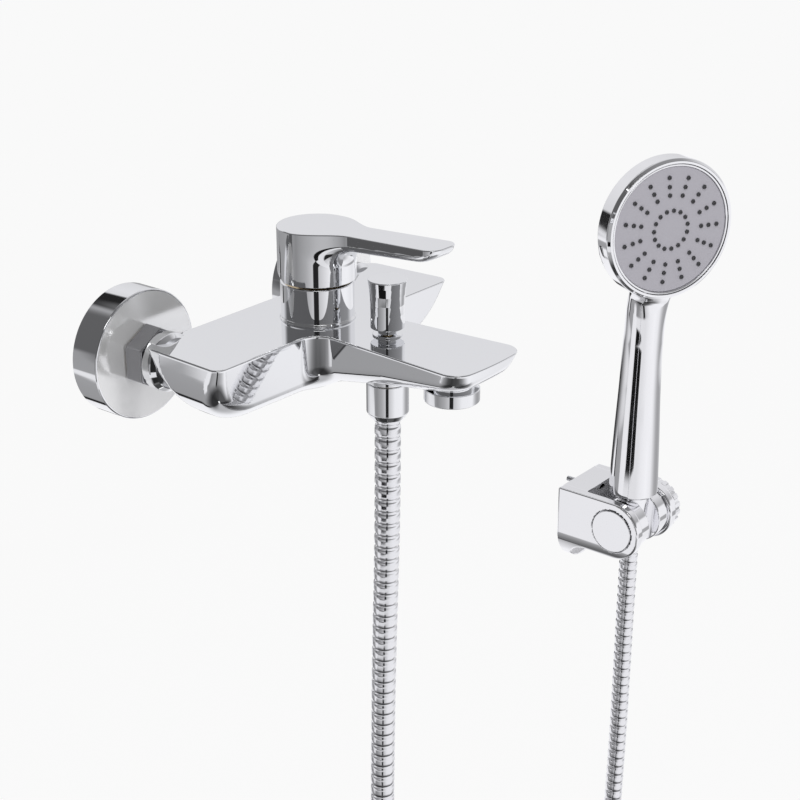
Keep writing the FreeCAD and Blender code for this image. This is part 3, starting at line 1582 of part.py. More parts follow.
def hose():
    """The whole hose as one solid: ribs outside, a plain bore inside."""
    points = [Vector(*row) for row in ROUTE]
    pieces, radii = route_path(points)
    lengths = [piece.length() for piece in pieces]
    total = sum(lengths)
    outer = float(s.hose_radius)
    groove = outer - float(s.hose_groove)
    ribs = int(round(float(s.hose_ribs)))
    plain = 2 * outer
    pitch = (total - 2 * plain) / ribs

    def circle(distance, radius):
        """A ring about the path, started on the same side all along."""
        at, direction = along(pieces, lengths, distance)
        across = direction.cross(Vector(0, 1, 0)).normalize()
        curve = Part.Circle(at, direction, radius)
        curve.XAxis = across
        return Part.Wire([curve.toShape()])

    stations = [(0.0, groove)]
    for index in range(ribs):
        start = plain + index * pitch
        stations.append((start, groove))
        stations.append((start + pitch * RIB_SIDE, outer))
        stations.append((start + pitch * (1 - RIB_SIDE), outer))
    stations.append((total - plain, groove))
    stations.append((total, groove))
    skin = []
    for (from_at, from_radius), (to_at, to_radius) in zip(stations, stations[1:]):
        skin += Part.makeRuledSurface(circle(from_at, from_radius),
                                      circle(to_at, to_radius)).Faces
    bore = float(s.hose_bore)
    spine = Part.Wire([piece.toShape() for piece in pieces])
    at, direction = along(pieces, lengths, 0.0)
    section = Part.Wire([Part.Circle(at, direction, bore).toShape()])
    inside = spine.makePipeShell([section], True, False)
    first = Part.Face(circle(0.0, groove))
    last = Part.Face(circle(total, groove))
    shell = Part.Shell(skin + [first, last])
    shell.sewShape()
    whole = Part.Solid(shell).cut(inside)
    expected = math.pi * total * (groove ** 2 - bore ** 2)
    print("hose length %.1f, lowest arc radius %.1f" % (total, min(radii)))
    print("hose radii", [round(radius) for radius in radii])
    print("hose volume over plain tube %.3f" % (whole.Volume / expected))
    return whole


node(solid("shower_hose_tube", hose()), "shower_hose")


doc.recompute()
problems = []
for obj in doc.Objects:
    if "Invalid" in obj.State or "Error" in obj.State:
        problems.append("%s: %s" % (obj.Label, obj.State))
for part in nodes:
    if part.Shape.isNull() or not part.Shape.isValid():
        problems.append("%s: bad shape" % part.Label)
if problems:
    raise RuntimeError("; ".join(problems))

os.makedirs("parts", exist_ok=True)
for part in nodes:
    part.Shape.exportStep("parts/%s.step" % part.Label)
    solids = len(part.Shape.Solids)
    print("%-22s %9.1f mm3  solids %d" % (part.Label, part.Shape.Volume, solids))
print("%d sub-parts" % len(nodes))
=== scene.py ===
"""Bath mixer set with hand shower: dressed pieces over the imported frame.

Lengths are in millimetres in the row frame (+X along the wall, +Y into it, +Z up)
and turn into metres where a mesh is made.
"""
import json
import math

import bpy
import numpy as np
from mathutils import Matrix, Vector


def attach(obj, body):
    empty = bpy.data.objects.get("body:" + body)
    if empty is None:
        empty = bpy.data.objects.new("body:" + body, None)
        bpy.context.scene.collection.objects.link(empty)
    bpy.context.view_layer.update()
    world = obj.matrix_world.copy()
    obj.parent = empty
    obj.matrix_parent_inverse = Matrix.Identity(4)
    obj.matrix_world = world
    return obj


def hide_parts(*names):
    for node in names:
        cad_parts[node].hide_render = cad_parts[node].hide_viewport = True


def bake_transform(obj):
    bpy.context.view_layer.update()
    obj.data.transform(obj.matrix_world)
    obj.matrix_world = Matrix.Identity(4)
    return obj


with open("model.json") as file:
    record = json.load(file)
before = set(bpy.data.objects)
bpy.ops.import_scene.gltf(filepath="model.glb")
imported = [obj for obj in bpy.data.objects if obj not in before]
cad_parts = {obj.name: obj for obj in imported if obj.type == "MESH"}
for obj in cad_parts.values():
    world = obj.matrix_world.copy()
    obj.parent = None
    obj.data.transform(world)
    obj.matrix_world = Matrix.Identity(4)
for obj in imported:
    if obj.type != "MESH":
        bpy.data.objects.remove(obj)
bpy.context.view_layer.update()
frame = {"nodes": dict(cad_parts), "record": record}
MM = 0.001
ROOM = Matrix.Identity(4)

INLET_HALF = 75.0
AXIS = 70.5
TOWER = Matrix.Translation((0, -AXIS, 0))
OUTLET = Matrix.Translation((0, -117.8, 0))
SPOUT_MOUTH = Matrix.Translation((0, -159.5, 0))
OUT_OF_WALL = Matrix.Rotation(math.pi / 2, 4, "X")


# Meshes

SLAB_STEPS = 4
CROWN_STEPS = 5
CROWN_PROUD = 0.02
SLOPE_REACH = 0.02


def add_mesh(name, points, faces, normals, material, body, at=ROOM):
    """A smooth-shaded piece from points in millimetres, one normal for each point.

    It rides on the body named, or on none where it is blended between two.
    """
    mesh = bpy.data.meshes.new(name)
    place = np.array(at)
    points = np.asarray(points, float) @ place[:3, :3].T + place[:3, 3]
    mesh.from_pydata((points * MM).tolist(), [], [list(map(int, f)) for f in faces])
    mesh.polygons.foreach_set("use_smooth", [True] * len(mesh.polygons))
    turned = np.asarray(normals, float) @ place[:3, :3].T
    turned /= np.linalg.norm(turned, axis=1)[:, None]
    mesh.normals_split_custom_set_from_vertices(turned.tolist())
    mesh.update()
    obj = bpy.data.objects.new(name, mesh)
    bpy.context.scene.collection.objects.link(obj)
    obj.data.materials.append(material)
    if body:
        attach(obj, body)
    return obj


def rounded(points, closed=True, steps=5):
    """Outline in a plane with its corners rounded: rows of x, y and the normal.

    A point is (x, y) for a sharp corner or (x, y, radius). Anticlockwise outlines
    have their normals outwards.
    """
    count = len(points)
    rows = []
    for index, point in enumerate(points):
        here = np.array(point[:2], float)
        radius = point[2] if len(point) > 2 else 0.0
        ends = not closed and index in (0, count - 1)
        back = np.array(points[index - 1][:2], float) - here
        ahead = np.array(points[(index + 1) % count][:2], float) - here
        if not closed and index == 0:
            back = -ahead
        if not closed and index == count - 1:
            ahead = -back
        back /= np.linalg.norm(back)
        ahead /= np.linalg.norm(ahead)
        before = np.array([-back[1], back[0]])
        after = np.array([ahead[1], -ahead[0]])
        turn = math.acos(max(-1.0, min(1.0, float(before @ after))))
        if ends or turn < 1e-4:
            rows.append((*here, *before))
            continue
        if radius <= 0:
            rows.append((*here, *before))
            rows.append((*here, *after))
            continue
        side = 1.0 if before[0] * after[1] - before[1] * after[0] > 0 else -1.0
        tangent = radius * math.tan(turn / 2)
        centre = here + back * tangent - before * radius * side
        for step in range(steps + 1):
            angle = turn * step / steps * side
            normal = np.array([
                before[0] * math.cos(angle) - before[1] * math.sin(angle),
                before[0] * math.sin(angle) + before[1] * math.cos(angle),
            ])
            rows.append((*(centre + normal * radius * side), *normal))
    return np.array(rows)


def stitch(count, rings, first=0, flip=False):
    """Quads between rings of count points each, numbered ring after ring."""
    faces = []
    for ring in range(rings - 1):
        low = first + ring * count
        high = low + count
        for index in range(count):
            ahead = (index + 1) % count
            quad = (low + index, low + ahead, high + ahead, high + index)
            faces.append(quad[::-1] if flip else quad)
    return faces


def lathe(name, profile, material, body, at=ROOM, closed=True, around=96):
    """A turned piece: its half profile as (radius, height, corner radius), outside
    on the right of the direction of travel."""
    rows = rounded(profile, closed)
    angles = np.arange(around) * 2 * math.pi / around
    cosine, sine = np.cos(angles), np.sin(angles)
    points, normals = [], []
    for radius, height, across, up in rows:
        points.append(np.stack([radius * cosine, radius * sine,
                                np.full(around, height)], 1))
        normals.append(np.stack([across * cosine, across * sine,
                                 np.full(around, up)], 1))
    rings = len(rows)
    faces = stitch(around, rings)
    if closed:
        last = (rings - 1) * around
        for index in range(around):
            ahead = (index + 1) % around
            faces.append((last + index, last + ahead, ahead, index))
    keep = []
    points = np.concatenate(points)
    for face in faces:
        corners = [tuple(np.round(points[i], 6)) for i in face]
        if len(set(corners)) == 4:
            keep.append(face)
        elif len(set(corners)) == 3:
            seen, kept = set(), []
            for i, c in zip(face, corners):
                if c not in seen:
                    seen.add(c)
                    kept.append(i)
            keep.append(tuple(kept))
    return add_mesh(name, points, keep, np.concatenate(normals), material, body, at)


def slab(name, outline, low, high, edge, material, body, at):
    """A plate with rounded rims: an outline of (x, y, radius) between two heights."""
    rows = rounded(outline, True, 8)
    plan, out = rows[:, :2], rows[:, 2:]
    rings, normals = [], []

    def ring(inset, level, across, up):
        rings.append(np.column_stack([plan - out * inset,
                                      np.full(len(plan), level)]))
        normals.append(np.column_stack([out * across, np.full(len(plan), up)]))

    for step in range(SLAB_STEPS + 1):
        angle = math.pi / 2 * step / SLAB_STEPS
        ring(edge * (1 - math.sin(angle)), low + edge * (1 - math.cos(angle)),
             math.sin(angle), -math.cos(angle))
    for step in range(SLAB_STEPS + 1):
        angle = math.pi / 2 * step / SLAB_STEPS
        ring(edge * (1 - math.cos(angle)), high - edge * (1 - math.sin(angle)),
             math.cos(angle), math.sin(angle))
    count = len(plan)
    faces = stitch(count, len(rings))
    faces.append(tuple(range(count - 1, -1, -1)))
    top = (len(rings) - 1) * count
    faces.append(tuple(range(top, top + count)))
    return add_mesh(name, np.concatenate(rings), faces, np.concatenate(normals),
                    material, body, at)


# Rounded solids given by a distance field, below zero inside

def meet(radius, *sides):
    """The solid inside all sides, its edges rounded."""
    over = [side + radius for side in sides]
    most = over[0]
    for side in over[1:]:
        most = np.maximum(most, side)
    return np.minimum(most, 0) - radius + np.sqrt(
        sum(np.maximum(side, 0) ** 2 for side in over))


def join(radius, first, second):
    """The solids together, the groove between them filled."""
    return np.maximum(np.minimum(first, second), radius) - np.sqrt(
        np.maximum(radius - first, 0) ** 2 + np.maximum(radius - second, 0) ** 2)


def slope_of(field, points):
    """Direction in which the field grows, at each point."""
    grown = []
    for axis in range(3):
        step = np.zeros(3)
        step[axis] = SLOPE_REACH
        ahead, behind = points + step, points - step
        grown.append((field(*ahead.T) - field(*behind.T)) / (2 * SLOPE_REACH))
    return np.stack(grown, 1)


def net(name, field, low, high, step, material, body, at=ROOM):
    """The field's surface as a mesh of quads whose points lie on it."""
    axes = [np.arange(a - step, b + step * 2, step) for a, b in zip(low, high)]
    value = field(*np.meshgrid(*axes, indexing="ij"))
    inside = value < 0
    size = [n - 1 for n in value.shape]

    def corner(grid, i, j, k):
        return grid[i:i + size[0], j:j + size[1], k:k + size[2]]

    corners = [(i, j, k) for i in (0, 1) for j in (0, 1) for k in (0, 1)]
    held = sum(corner(inside, *c).astype(int) for c in corners)
    active = (held > 0) & (held < 8)
    number = np.full(active.shape, -1)
    number[active] = np.arange(active.sum())
    total = np.zeros((int(active.sum()), 3))
    weight = np.zeros(int(active.sum()))
    for first in corners:
        for axis in range(3):
            if first[axis]:
                continue
            second = list(first)
            second[axis] = 1
            a = corner(value, *first)[active]
            b = corner(value, *second)[active]
            crossed = (a < 0) != (b < 0)
            share = np.where(crossed, a / np.where(crossed, a - b, 1.0), 0.0)
            spot = np.tile(np.array(first, float), (len(a), 1))
            spot[:, axis] += share
            total += spot * crossed[:, None]
            weight += crossed
    cells = np.argwhere(active)
    points = (cells + total / weight[:, None]) * step + np.array([a[0] for a in axes])
    for _ in range(4):
        slope = slope_of(field, points)
        square = np.maximum((slope ** 2).sum(1), 1e-6)
        move = -(field(*points.T) / square)[:, None] * slope
        length = np.linalg.norm(move, axis=1)[:, None]
        points = points + move * np.minimum(1.0, 0.6 * step / np.maximum(length, 1e-9))
    faces = []
    for axis in range(3):
        u, v = [a for a in range(3) if a != axis]
        near = inside.take(range(0, inside.shape[axis] - 1), axis)
        far = inside.take(range(1, inside.shape[axis]), axis)
        for place in np.argwhere(near != far):
            if min(place[u], place[v]) == 0:
                continue
            if place[u] >= active.shape[u] or place[v] >= active.shape[v]:
                continue
            ids = []
            for du, dv in ((1, 1), (0, 1), (0, 0), (1, 0)):
                spot = list(place)
                spot[u] -= du
                spot[v] -= dv
                ids.append(number[tuple(spot)])
            if near[tuple(place)] != (axis == 1):
                ids.reverse()
            faces.append(ids[::-1])
    return add_mesh(name, points, faces, slope_of(field, points), material, body, at)


def crown(name, field, outline, level, edge, depth, material, body):
    """Crisp top of a rounded solid: a flat face, its small rim and a narrow skirt.

    The outline is moved onto the field at each level, and level(y) is the height of
    the flat face.
    """
    plan = np.array(outline, float)
    top = level(plan[:, 1])

    def settle(plan, height):
        for _ in range(8):
            points = np.column_stack([plan, height])
            slope = slope_of(field, points)
            square = np.maximum((slope[:, :2] ** 2).sum(1), 1e-3)
            plan = plan - (field(*points.T) / square)[:, None] * slope[:, :2]
        slope = slope_of(field, np.column_stack([plan, height]))
        return plan, slope / np.linalg.norm(slope, axis=1)[:, None]

    plan, side = settle(plan, top)
    out = side[:, :2] / np.linalg.norm(side[:, :2], axis=1)[:, None]
    flat = np.linalg.norm(side[:, :2], axis=1)
    inset = edge * (1 - side[:, 2]) / flat
    centre = np.column_stack([plan - out * inset[:, None], top - edge])
    lean = np.arcsin(side[:, 2])
    rings, normals = [], []
    for step in range(CROWN_STEPS + 1):
        angle = math.pi / 2 + (lean - math.pi / 2) * step / CROWN_STEPS
        normal = np.column_stack([out * np.cos(angle)[:, None], np.sin(angle)])
        rings.append(centre + normal * edge)
        normals.append(normal)
    low = rings[-1][:, 2].copy()
    plan = rings[-1][:, :2]
    for step in range(1, 4):
        height = low + (top - depth - low) * step / 3
        plan, side = settle(plan, height)
        rings.append(np.column_stack([plan + side[:, :2] * CROWN_PROUD, height]))
        normals.append(side)
    count = len(top)
    faces = stitch(count, len(rings), flip=True)
    faces.append(tuple(range(count)))
    return add_mesh(name, np.concatenate(rings), faces, np.concatenate(normals),
                    material, body)


def walk(outline, spacing):
    """Points along a rounded outline, no further apart than spacing."""
    points = []
    rows = outline[:, :2]
    for index, here in enumerate(rows):
        ahead = rows[(index + 1) % len(rows)]
        pieces = max(1, int(math.ceil(np.linalg.norm(ahead - here) / spacing)))
        points += [here + (ahead - here) * step / pieces for step in range(pieces)]
    return np.array(points)


# Materials

NOISE_SPAN = (0.3, 0.7)
BUMP_HEIGHT = 0.0002


def shader(name, colour, metallic, low, high, scale, bump=0.0, tint=0.0):
    """A finish whose roughness, low to high, and bump and tint vary with a fine noise."""
    material = bpy.data.materials.new(name)
    material.use_nodes = True
    nodes, links = material.node_tree.nodes, material.node_tree.links
    principled = nodes["Principled BSDF"]
    principled.inputs["Base Color"].default_value = (*colour, 1.0)
    principled.inputs["Metallic"].default_value = metallic
    place = nodes.new("ShaderNodeTexCoord")
    noise = nodes.new("ShaderNodeTexNoise")
    noise.inputs["Scale"].default_value = scale
    noise.inputs["Detail"].default_value = 3.0
    links.new(place.outputs["Object"], noise.inputs["Vector"])
    spread = nodes.new("ShaderNodeMapRange")
    spread.inputs["From Min"].default_value, spread.inputs["From Max"].default_value = (
        NOISE_SPAN)
    spread.inputs["To Min"].default_value = low
    spread.inputs["To Max"].default_value = high
    links.new(noise.outputs["Fac"], spread.inputs["Value"])
    links.new(spread.outputs["Result"], principled.inputs["Roughness"])
    if bump:
        raised = nodes.new("ShaderNodeBump")
        raised.inputs["Strength"].default_value = bump
        raised.inputs["Distance"].default_value = BUMP_HEIGHT
        links.new(noise.outputs["Fac"], raised.inputs["Height"])
        links.new(raised.outputs["Normal"], principled.inputs["Normal"])
    if tint:
        ramp = nodes.new("ShaderNodeValToRGB")
        for end, position, share in zip(ramp.color_ramp.elements, NOISE_SPAN,
                                        (1 - tint, 1 + tint)):
            end.position = position
            end.color = (*[min(1.0, c * share) for c in colour], 1.0)
        links.new(noise.outputs["Fac"], ramp.inputs["Fac"])
        links.new(ramp.outputs["Color"], principled.inputs["Base Color"])
    return material


CHROME = shader("chrome", (0.88, 0.885, 0.90), 1.0, 0.025, 0.05, 90.0)
PLATED = shader("plated_plastic", (0.90, 0.90, 0.915), 1.0, 0.03, 0.06, 70.0)
# A darker, duller copy of the plated finish for the slot between the bracket's arms: painted
# shade.
PLATED_PAINTED_SHADE = shader("plated_painted_shade", (0.66, 0.66, 0.68), 0.55, 0.30, 0.42, 150.0)
HOSE_METAL = shader("hose_metal", (0.83, 0.83, 0.85), 1.0, 0.08, 0.16, 200.0)
# Cover front: satin chrome with a near-white diffuse half, which is a painted white
# reflection.
COVER_PAINTED_WHITE = shader("cover_painted_white", (0.99, 0.99, 0.99), 0.55, 0.12, 0.17, 120.0)
NUT = shader("nut_plated", (0.40, 0.40, 0.415), 1.0, 0.16, 0.24, 160.0)
BRASS = shader("brass", (0.72, 0.55, 0.30), 1.0, 0.20, 0.32, 300.0, bump=0.10, tint=0.08)
STEEL = shader("steel", (0.60, 0.61, 0.63), 1.0, 0.22, 0.34, 400.0, bump=0.08, tint=0.05)
RUBBER = shader("rubber", (0.035, 0.035, 0.037), 0.0, 0.55, 0.75, 500.0, bump=0.2,
                tint=0.25)
NOZZLE = shader("nozzle_rubber", (0.055, 0.055, 0.06), 0.0, 0.42, 0.58, 600.0, bump=0.1,
                tint=0.15)
FACE = shader("face_satin", (0.56, 0.545, 0.60), 0.0, 0.30, 0.40, 900.0, bump=0.06,
              tint=0.02)
AERATOR = shader("aerator_plastic", (0.10, 0.105, 0.115), 0.0, 0.35, 0.5, 400.0,
                 bump=0.1, tint=0.1)
CARTRIDGE = shader("cartridge_plastic", (0.55, 0.55, 0.53), 0.0, 0.4, 0.55, 300.0,
                   bump=0.1, tint=0.05)

BY_SLOT = {
    "chrome": CHROME, "plated_plastic": PLATED, "hose_metal": HOSE_METAL,
    "brass": BRASS, "steel": STEEL, "rubber": RUBBER, "nozzle_rubber": NOZZLE,
    "face_satin": FACE, "cartridge_plastic": CARTRIDGE, "aerator_plastic": AERATOR,
}
for row in frame["record"]["subparts"]:
    node_mesh = frame["nodes"][row["node"]].data
    node_mesh.materials.clear()
    node_mesh.materials.append(BY_SLOT[row["material_slot"]])


# Camera

LENS = 76.5
SENSOR = 36.0
AZIMUTH = math.radians(-51.556)
ELEVATION = math.radians(22.227)
CAMERA_AT = Vector((-639.28, -633.48, 311.53))

backwards = Vector((math.sin(AZIMUTH) * math.cos(ELEVATION),
                    -math.cos(AZIMUTH) * math.cos(ELEVATION), math.sin(ELEVATION)))
lens = bpy.data.cameras.new("camera")
lens.lens = LENS
lens.sensor_width = SENSOR
lens.clip_start = 0.05
lens.clip_end = 60.0
camera = bpy.data.objects.new("camera", lens)
camera.location = CAMERA_AT * MM
camera.rotation_mode = "QUATERNION"
camera.rotation_quaternion = (-backwards).to_track_quat("-Z", "Y")
bpy.context.scene.collection.objects.link(camera)
bpy.context.scene.camera = camera


# Hose: the points that control its route, in metres, and its ribs

ROUTE = [
    (0.0, -0.1178, -0.0333),
    (0.0, -0.1178, -0.092),
    (0.002, -0.1128, -0.184),
    (0.006, -0.1078, -0.3),
    (0.012, -0.103, -0.424),
    (0.022, -0.098, -0.55),
    (0.04, -0.093, -0.664),
    (0.077, -0.0875, -0.763),
    (0.14, -0.081, -0.829),
    (0.222, -0.0745, -0.833),
    (0.294, -0.0675, -0.777),
    (0.337, -0.0615, -0.686),
    (0.36, -0.056, -0.582),
    (0.373, -0.0515, -0.474),
    (0.379, -0.0485, -0.3955),
    (0.381, -0.047334, -0.337347),
    (0.381, -0.047825, -0.280999),
]
HOSE_RADIUS = 7.0
RIB_PITCH = 7.2
RIB_DEPTH = 0.75
RIB_GROOVE = 0.13
HOSE_SIDES = 24
JOINT_LEVEL = -0.44


def route_line(points):
    """Points along the smooth spline that the route's points control, in metres."""
    curve = bpy.data.curves.new("route", "CURVE")
    curve.dimensions = "3D"
    curve.resolution_u = 64
    spline = curve.splines.new("NURBS")
    spline.points.add(len(points) - 1)
    for point, place in zip(spline.points, points):
        point.co = (*place, 1.0)
    spline.order_u = 3
    spline.use_endpoint_u = True
    holder = bpy.data.objects.new("route", curve)
    bpy.context.scene.collection.objects.link(holder)
    mesh = bpy.data.meshes.new_from_object(holder)
    line = np.array([v.co[:] for v in mesh.vertices])
    bpy.data.objects.remove(holder)
    bpy.data.meshes.remove(mesh)
    bpy.data.curves.remove(curve)
    return line


def along(line, spacing):
    """The line's points at an even spacing, in millimetres, and their distance."""
    gaps = np.linalg.norm(np.diff(line, axis=0), axis=1)
    keep = np.concatenate([[True], gaps > 1e-9])
    line = line[keep] / MM
    far = np.concatenate([[0], np.cumsum(np.linalg.norm(np.diff(line, axis=0), axis=1))])
    count = int(round(far[-1] / spacing))
    where = np.linspace(0, far[-1], count + 1)
    return np.column_stack([np.interp(where, far, line[:, a]) for a in range(3)]), where


def ribbed_tube(name, centres, distance, material):
    """A tube along the centres whose radius rises and falls once in each rib."""
    around = HOSE_SIDES
    tangents = np.gradient(centres, axis=0)
    tangents /= np.linalg.norm(tangents, axis=1)[:, None]
    side = np.cross(tangents, np.array([0.0, 1.0, 0.0]))
    side /= np.linalg.norm(side, axis=1)[:, None]
    other = np.cross(tangents, side)
    phase = (distance / RIB_PITCH) % 1.0
    groove = np.exp(-((phase - 0.5) / RIB_GROOVE) ** 2)
    radius = HOSE_RADIUS - 0.05 - RIB_DEPTH * groove
    climb = np.gradient(radius, distance)
    angles = np.arange(around) * 2 * math.pi / around
    out = (side[:, None, :] * np.cos(angles)[None, :, None]
           + other[:, None, :] * np.sin(angles)[None, :, None])
    points = centres[:, None, :] + out * radius[:, None, None]
    normals = out - tangents[:, None, :] * climb[:, None, None]
    faces = stitch(around, len(centres))
    faces.append(tuple(range(around - 1, -1, -1)))
    last = (len(centres) - 1) * around
    faces.append(tuple(range(last, last + around)))
    return add_mesh(name, points.reshape(-1, 3), faces, normals.reshape(-1, 3),
                    material, None)


centres, distance = along(route_line(ROUTE), 0.9)
after_bend = np.arange(len(centres)) > np.argmin(centres[:, 2])
split = int(np.argmax(after_bend & (centres[:, 2] > JOINT_LEVEL / MM)))
lower = ribbed_tube("hose_loop", centres[:split + 1], distance[:split + 1], HOSE_METAL)
upper = ribbed_tube("hose_rise", centres[split:], distance[split:], HOSE_METAL)
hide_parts("shower_hose")
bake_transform(lower)
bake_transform(upper)


# Mixer body

DECK = 12.2
HULL_DEPTH = 40.0
HULL_KEEL = 2.0
WING_FRONT_HALF = 93.5
WING_REAR_HALF = 90.5
REAR = 32.0
FRONT = 87.3
SPOUT_REACH = 183.5
SPOUT_ROOT_HALF = 21.0
SPOUT_TIP_HALF = 28.0
SPOUT_TIP_BOW = 2.2
SPOUT_ROOT_DEPTH = 33.0
SPOUT_TIP_DEPTH = 11.0
LEAN = 0.30
END_LEAN = 0.10
END_EDGE = 32.0
HULL_EDGE = 13.0
HULL_EDGE_SHARE = 0.55
INNER_CORNER = 12.0
WING_CORNER = 6.0
TIP_CORNER = 9.0
WING_CORNER_GROWTH = 0.20
TIP_CORNER_GROWTH = 0.3
BOW_ROUNDING = 60.0


def plane(x, y, ax, ay, bx, by):
    """Distance outside the line from a to b, whose outside is on its right."""
    length = math.hypot(bx - ax, by - ay)
    return ((x - ax) * (by - ay) - (y - ay) * (bx - ax)) / length


def hull(x, y, z):
    """The casting below its deck: a bar along the wall joined to the spout."""
    deep = np.maximum(DECK - z, 0.0)
    steep = 1 / math.hypot(1, LEAN)
    mirrored = np.abs(x)
    corner = WING_CORNER + deep * WING_CORNER_GROWTH
    ends = plane(mirrored, y, WING_FRONT_HALF, -FRONT, WING_REAR_HALF, -REAR)
    ends = (ends + END_LEAN * deep) / math.hypot(1, END_LEAN)
    rear = (y + REAR + LEAN * deep) * steep
    front = (-y - FRONT + LEAN * deep) * steep
    keel = HULL_KEEL * np.clip(1 - mirrored / INLET_HALF, 0, 1)
    bottom = DECK - HULL_DEPTH - keel - z
    bar = meet(corner, meet(END_EDGE, ends, bottom), rear, front)
    share = np.clip((-y - FRONT) / (SPOUT_REACH - FRONT), -1.0, 1.0)
    sides = plane(mirrored, y, SPOUT_TIP_HALF, -SPOUT_REACH, SPOUT_ROOT_HALF, -FRONT)
    sides = (sides + LEAN * deep) * steep
    bowed = SPOUT_TIP_BOW * (1 - (x / SPOUT_TIP_HALF) ** 2)
    tip = (-y - SPOUT_REACH - bowed + LEAN * deep) * steep
    slope = SPOUT_TIP_DEPTH - SPOUT_ROOT_DEPTH
    depth = SPOUT_ROOT_DEPTH + slope * np.maximum(share, -0.4)
    under = DECK - depth - z
    edge = np.minimum(HULL_EDGE, depth * HULL_EDGE_SHARE)
    spout = meet(edge, meet(TIP_CORNER + deep * TIP_CORNER_GROWTH, sides, tip), under)
    spout = np.maximum(spout, y + REAR + 12)
    return join(INNER_CORNER, bar, spout)


def deck_outline():
    """The deck's edge, anticlockwise from the rear right corner."""
    half = [(WING_FRONT_HALF, -FRONT, WING_CORNER), (WING_REAR_HALF, -REAR, WING_CORNER)]
    left = [(-x, y, r) for x, y, r in half[::-1]]
    spout = [(-SPOUT_ROOT_HALF, -FRONT, INNER_CORNER),
             (-SPOUT_TIP_HALF, -SPOUT_REACH, TIP_CORNER),
             (0.0, -SPOUT_REACH - SPOUT_TIP_BOW, BOW_ROUNDING),
             (SPOUT_TIP_HALF, -SPOUT_REACH, TIP_CORNER),
             (SPOUT_ROOT_HALF, -FRONT, INNER_CORNER)]
    return walk(rounded(half + left + spout, True, 16), 1.2)


def below(field, level):
    """The part of a field's solid under a height."""
    return lambda x, y, z: np.maximum(field(x, y, z), z - level)


def mixer_body():
    """Casting with its crisp deck edge, inlet necks, outlet boss and cartridge tower."""
    shell = net("body_hull", below(hull, DECK - 1.6), (-95, -188, -32), (95, -30, DECK),
                1.3, CHROME, "mixer")
    crown("body_deck", hull, deck_outline(), lambda y: np.full(len(y), DECK), 0.7, 3.2,
          CHROME, "mixer")
    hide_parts("body_casting")
    for side, x in (("left", -INLET_HALF), ("right", INLET_HALF)):
        neck = Matrix.Translation((x, 0, 0)) @ OUT_OF_WALL
        lathe("body_neck_" + side, [
            (8.0, 23.9), (12.8, 23.9, 0.3), (12.8, 26.3, 0.3), (10.9, 26.3, 0.2),
            (10.9, 30.3, 0.3), (15.6, 30.3, 0.6), (15.6, 36.1, 1.2), (13.4, 38.5),
            (8.0, 38.5),
        ], CHROME, "mixer", neck)
    lathe("body_outlet_boss", [(5.0, -13.0), (11.4, -13.0, 0.5), (11.4, -6.0), (5.0, -6.0)],
          CHROME, "mixer", OUTLET)
    lathe("body_tower_boss", [(17.2, DECK - 2), (18.4, DECK - 2), (18.4, 27.2, 0.4),
                              (17.2, 27.2, 0.4)], CHROME, "mixer", TOWER)


mixer_body()


# Sleeve, handle and turret

SLEEVE_RADIUS = 19.6
HANDLE_RADIUS = 20.8
HANDLE_TOP = 62.3
SKIRT = 34.1
LEVER_REACH = 155.5
LEVER_TIP_HALF = 10.8
LEVER_ROOT_HALF = 9.5
LEVER_RISE = 3.8
LEVER_THICK = 9.4
LEVER_CORNER = 7.0
LEVER_EDGE = 3.6
LEVER_HOLLOW = 11.0
HANDLE_WALL = 2.0
RELIEF_START = 5.1
RELIEF_SLOPE = math.tan(math.radians(22.0))


def sleeve():
    """Tall polished collar with a flared foot and a rounded upper lip."""
    piece = lathe("sleeve", [
        (18.6, DECK), (20.3, DECK, 0.2), (20.3, DECK + 0.6, 0.4), (SLEEVE_RADIUS, 13.8, 1.0),
        (SLEEVE_RADIUS, 32.5, 0.6), (18.2, 32.5, 0.4), (18.2, 30.0), (18.6, 30.0),
    ], CHROME, "mixer", TOWER, around=128)
    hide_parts("cartridge_sleeve")


def lever_top(y):
    """Height of the handle's flat top, which rises towards the tip."""
    return HANDLE_TOP + LEVER_RISE * np.clip((-y - AXIS) / (LEVER_REACH - AXIS), 0, 1)


def lever(x, y, z):
    """Barrel with the blade growing out of it through hollow curves."""
    barrel = np.hypot(x, y + AXIS) - HANDLE_RADIUS
    out = np.clip((-y - AXIS) / (LEVER_REACH - AXIS), 0, 1)
    half = LEVER_ROOT_HALF + (LEVER_TIP_HALF - LEVER_ROOT_HALF) * out
    thick = LEVER_THICK * (1.05 - 0.30 * out)
    chin = 1 - 0.55 * np.clip((out - 0.86) / 0.14, 0, 1) ** 2
    sides = np.abs(x) - half
    under = lever_top(y) - thick * chin - z
    tip = -y - LEVER_REACH
    blade = meet(LEVER_EDGE, meet(LEVER_CORNER, sides, tip), under)
    blade = np.maximum(blade, y + AXIS)
    return join(LEVER_HOLLOW, barrel, blade)


def lever_outline():
    """The handle's top edge, anticlockwise: a round cap with a straight blade."""
    arc = math.asin(LEVER_ROOT_HALF / HANDLE_RADIUS) + 0.35
    points = []
    for step in range(97):
        angle = -math.pi / 2 + arc + (2 * math.pi - 2 * arc) * step / 96
        points.append((HANDLE_RADIUS * math.cos(angle),
                       -AXIS + HANDLE_RADIUS * math.sin(angle)))
    blade = [(-LEVER_ROOT_HALF, -AXIS - HANDLE_RADIUS - 6.0, 0.5),
             (-LEVER_TIP_HALF, -LEVER_REACH, LEVER_CORNER),
             (LEVER_TIP_HALF, -LEVER_REACH, LEVER_CORNER),
             (LEVER_ROOT_HALF, -AXIS - HANDLE_RADIUS - 6.0, 0.5)]
    rows = rounded(blade, False, 10)
    points += [tuple(row[:2]) for row in rows]
    return walk(np.array(points), 0.8)


def skirt_level(y):
    """Lower edge of the skirt, cut back behind the axis so that the handle can lift."""
    return SKIRT + np.maximum(y + AXIS - RELIEF_START, 0) * RELIEF_SLOPE


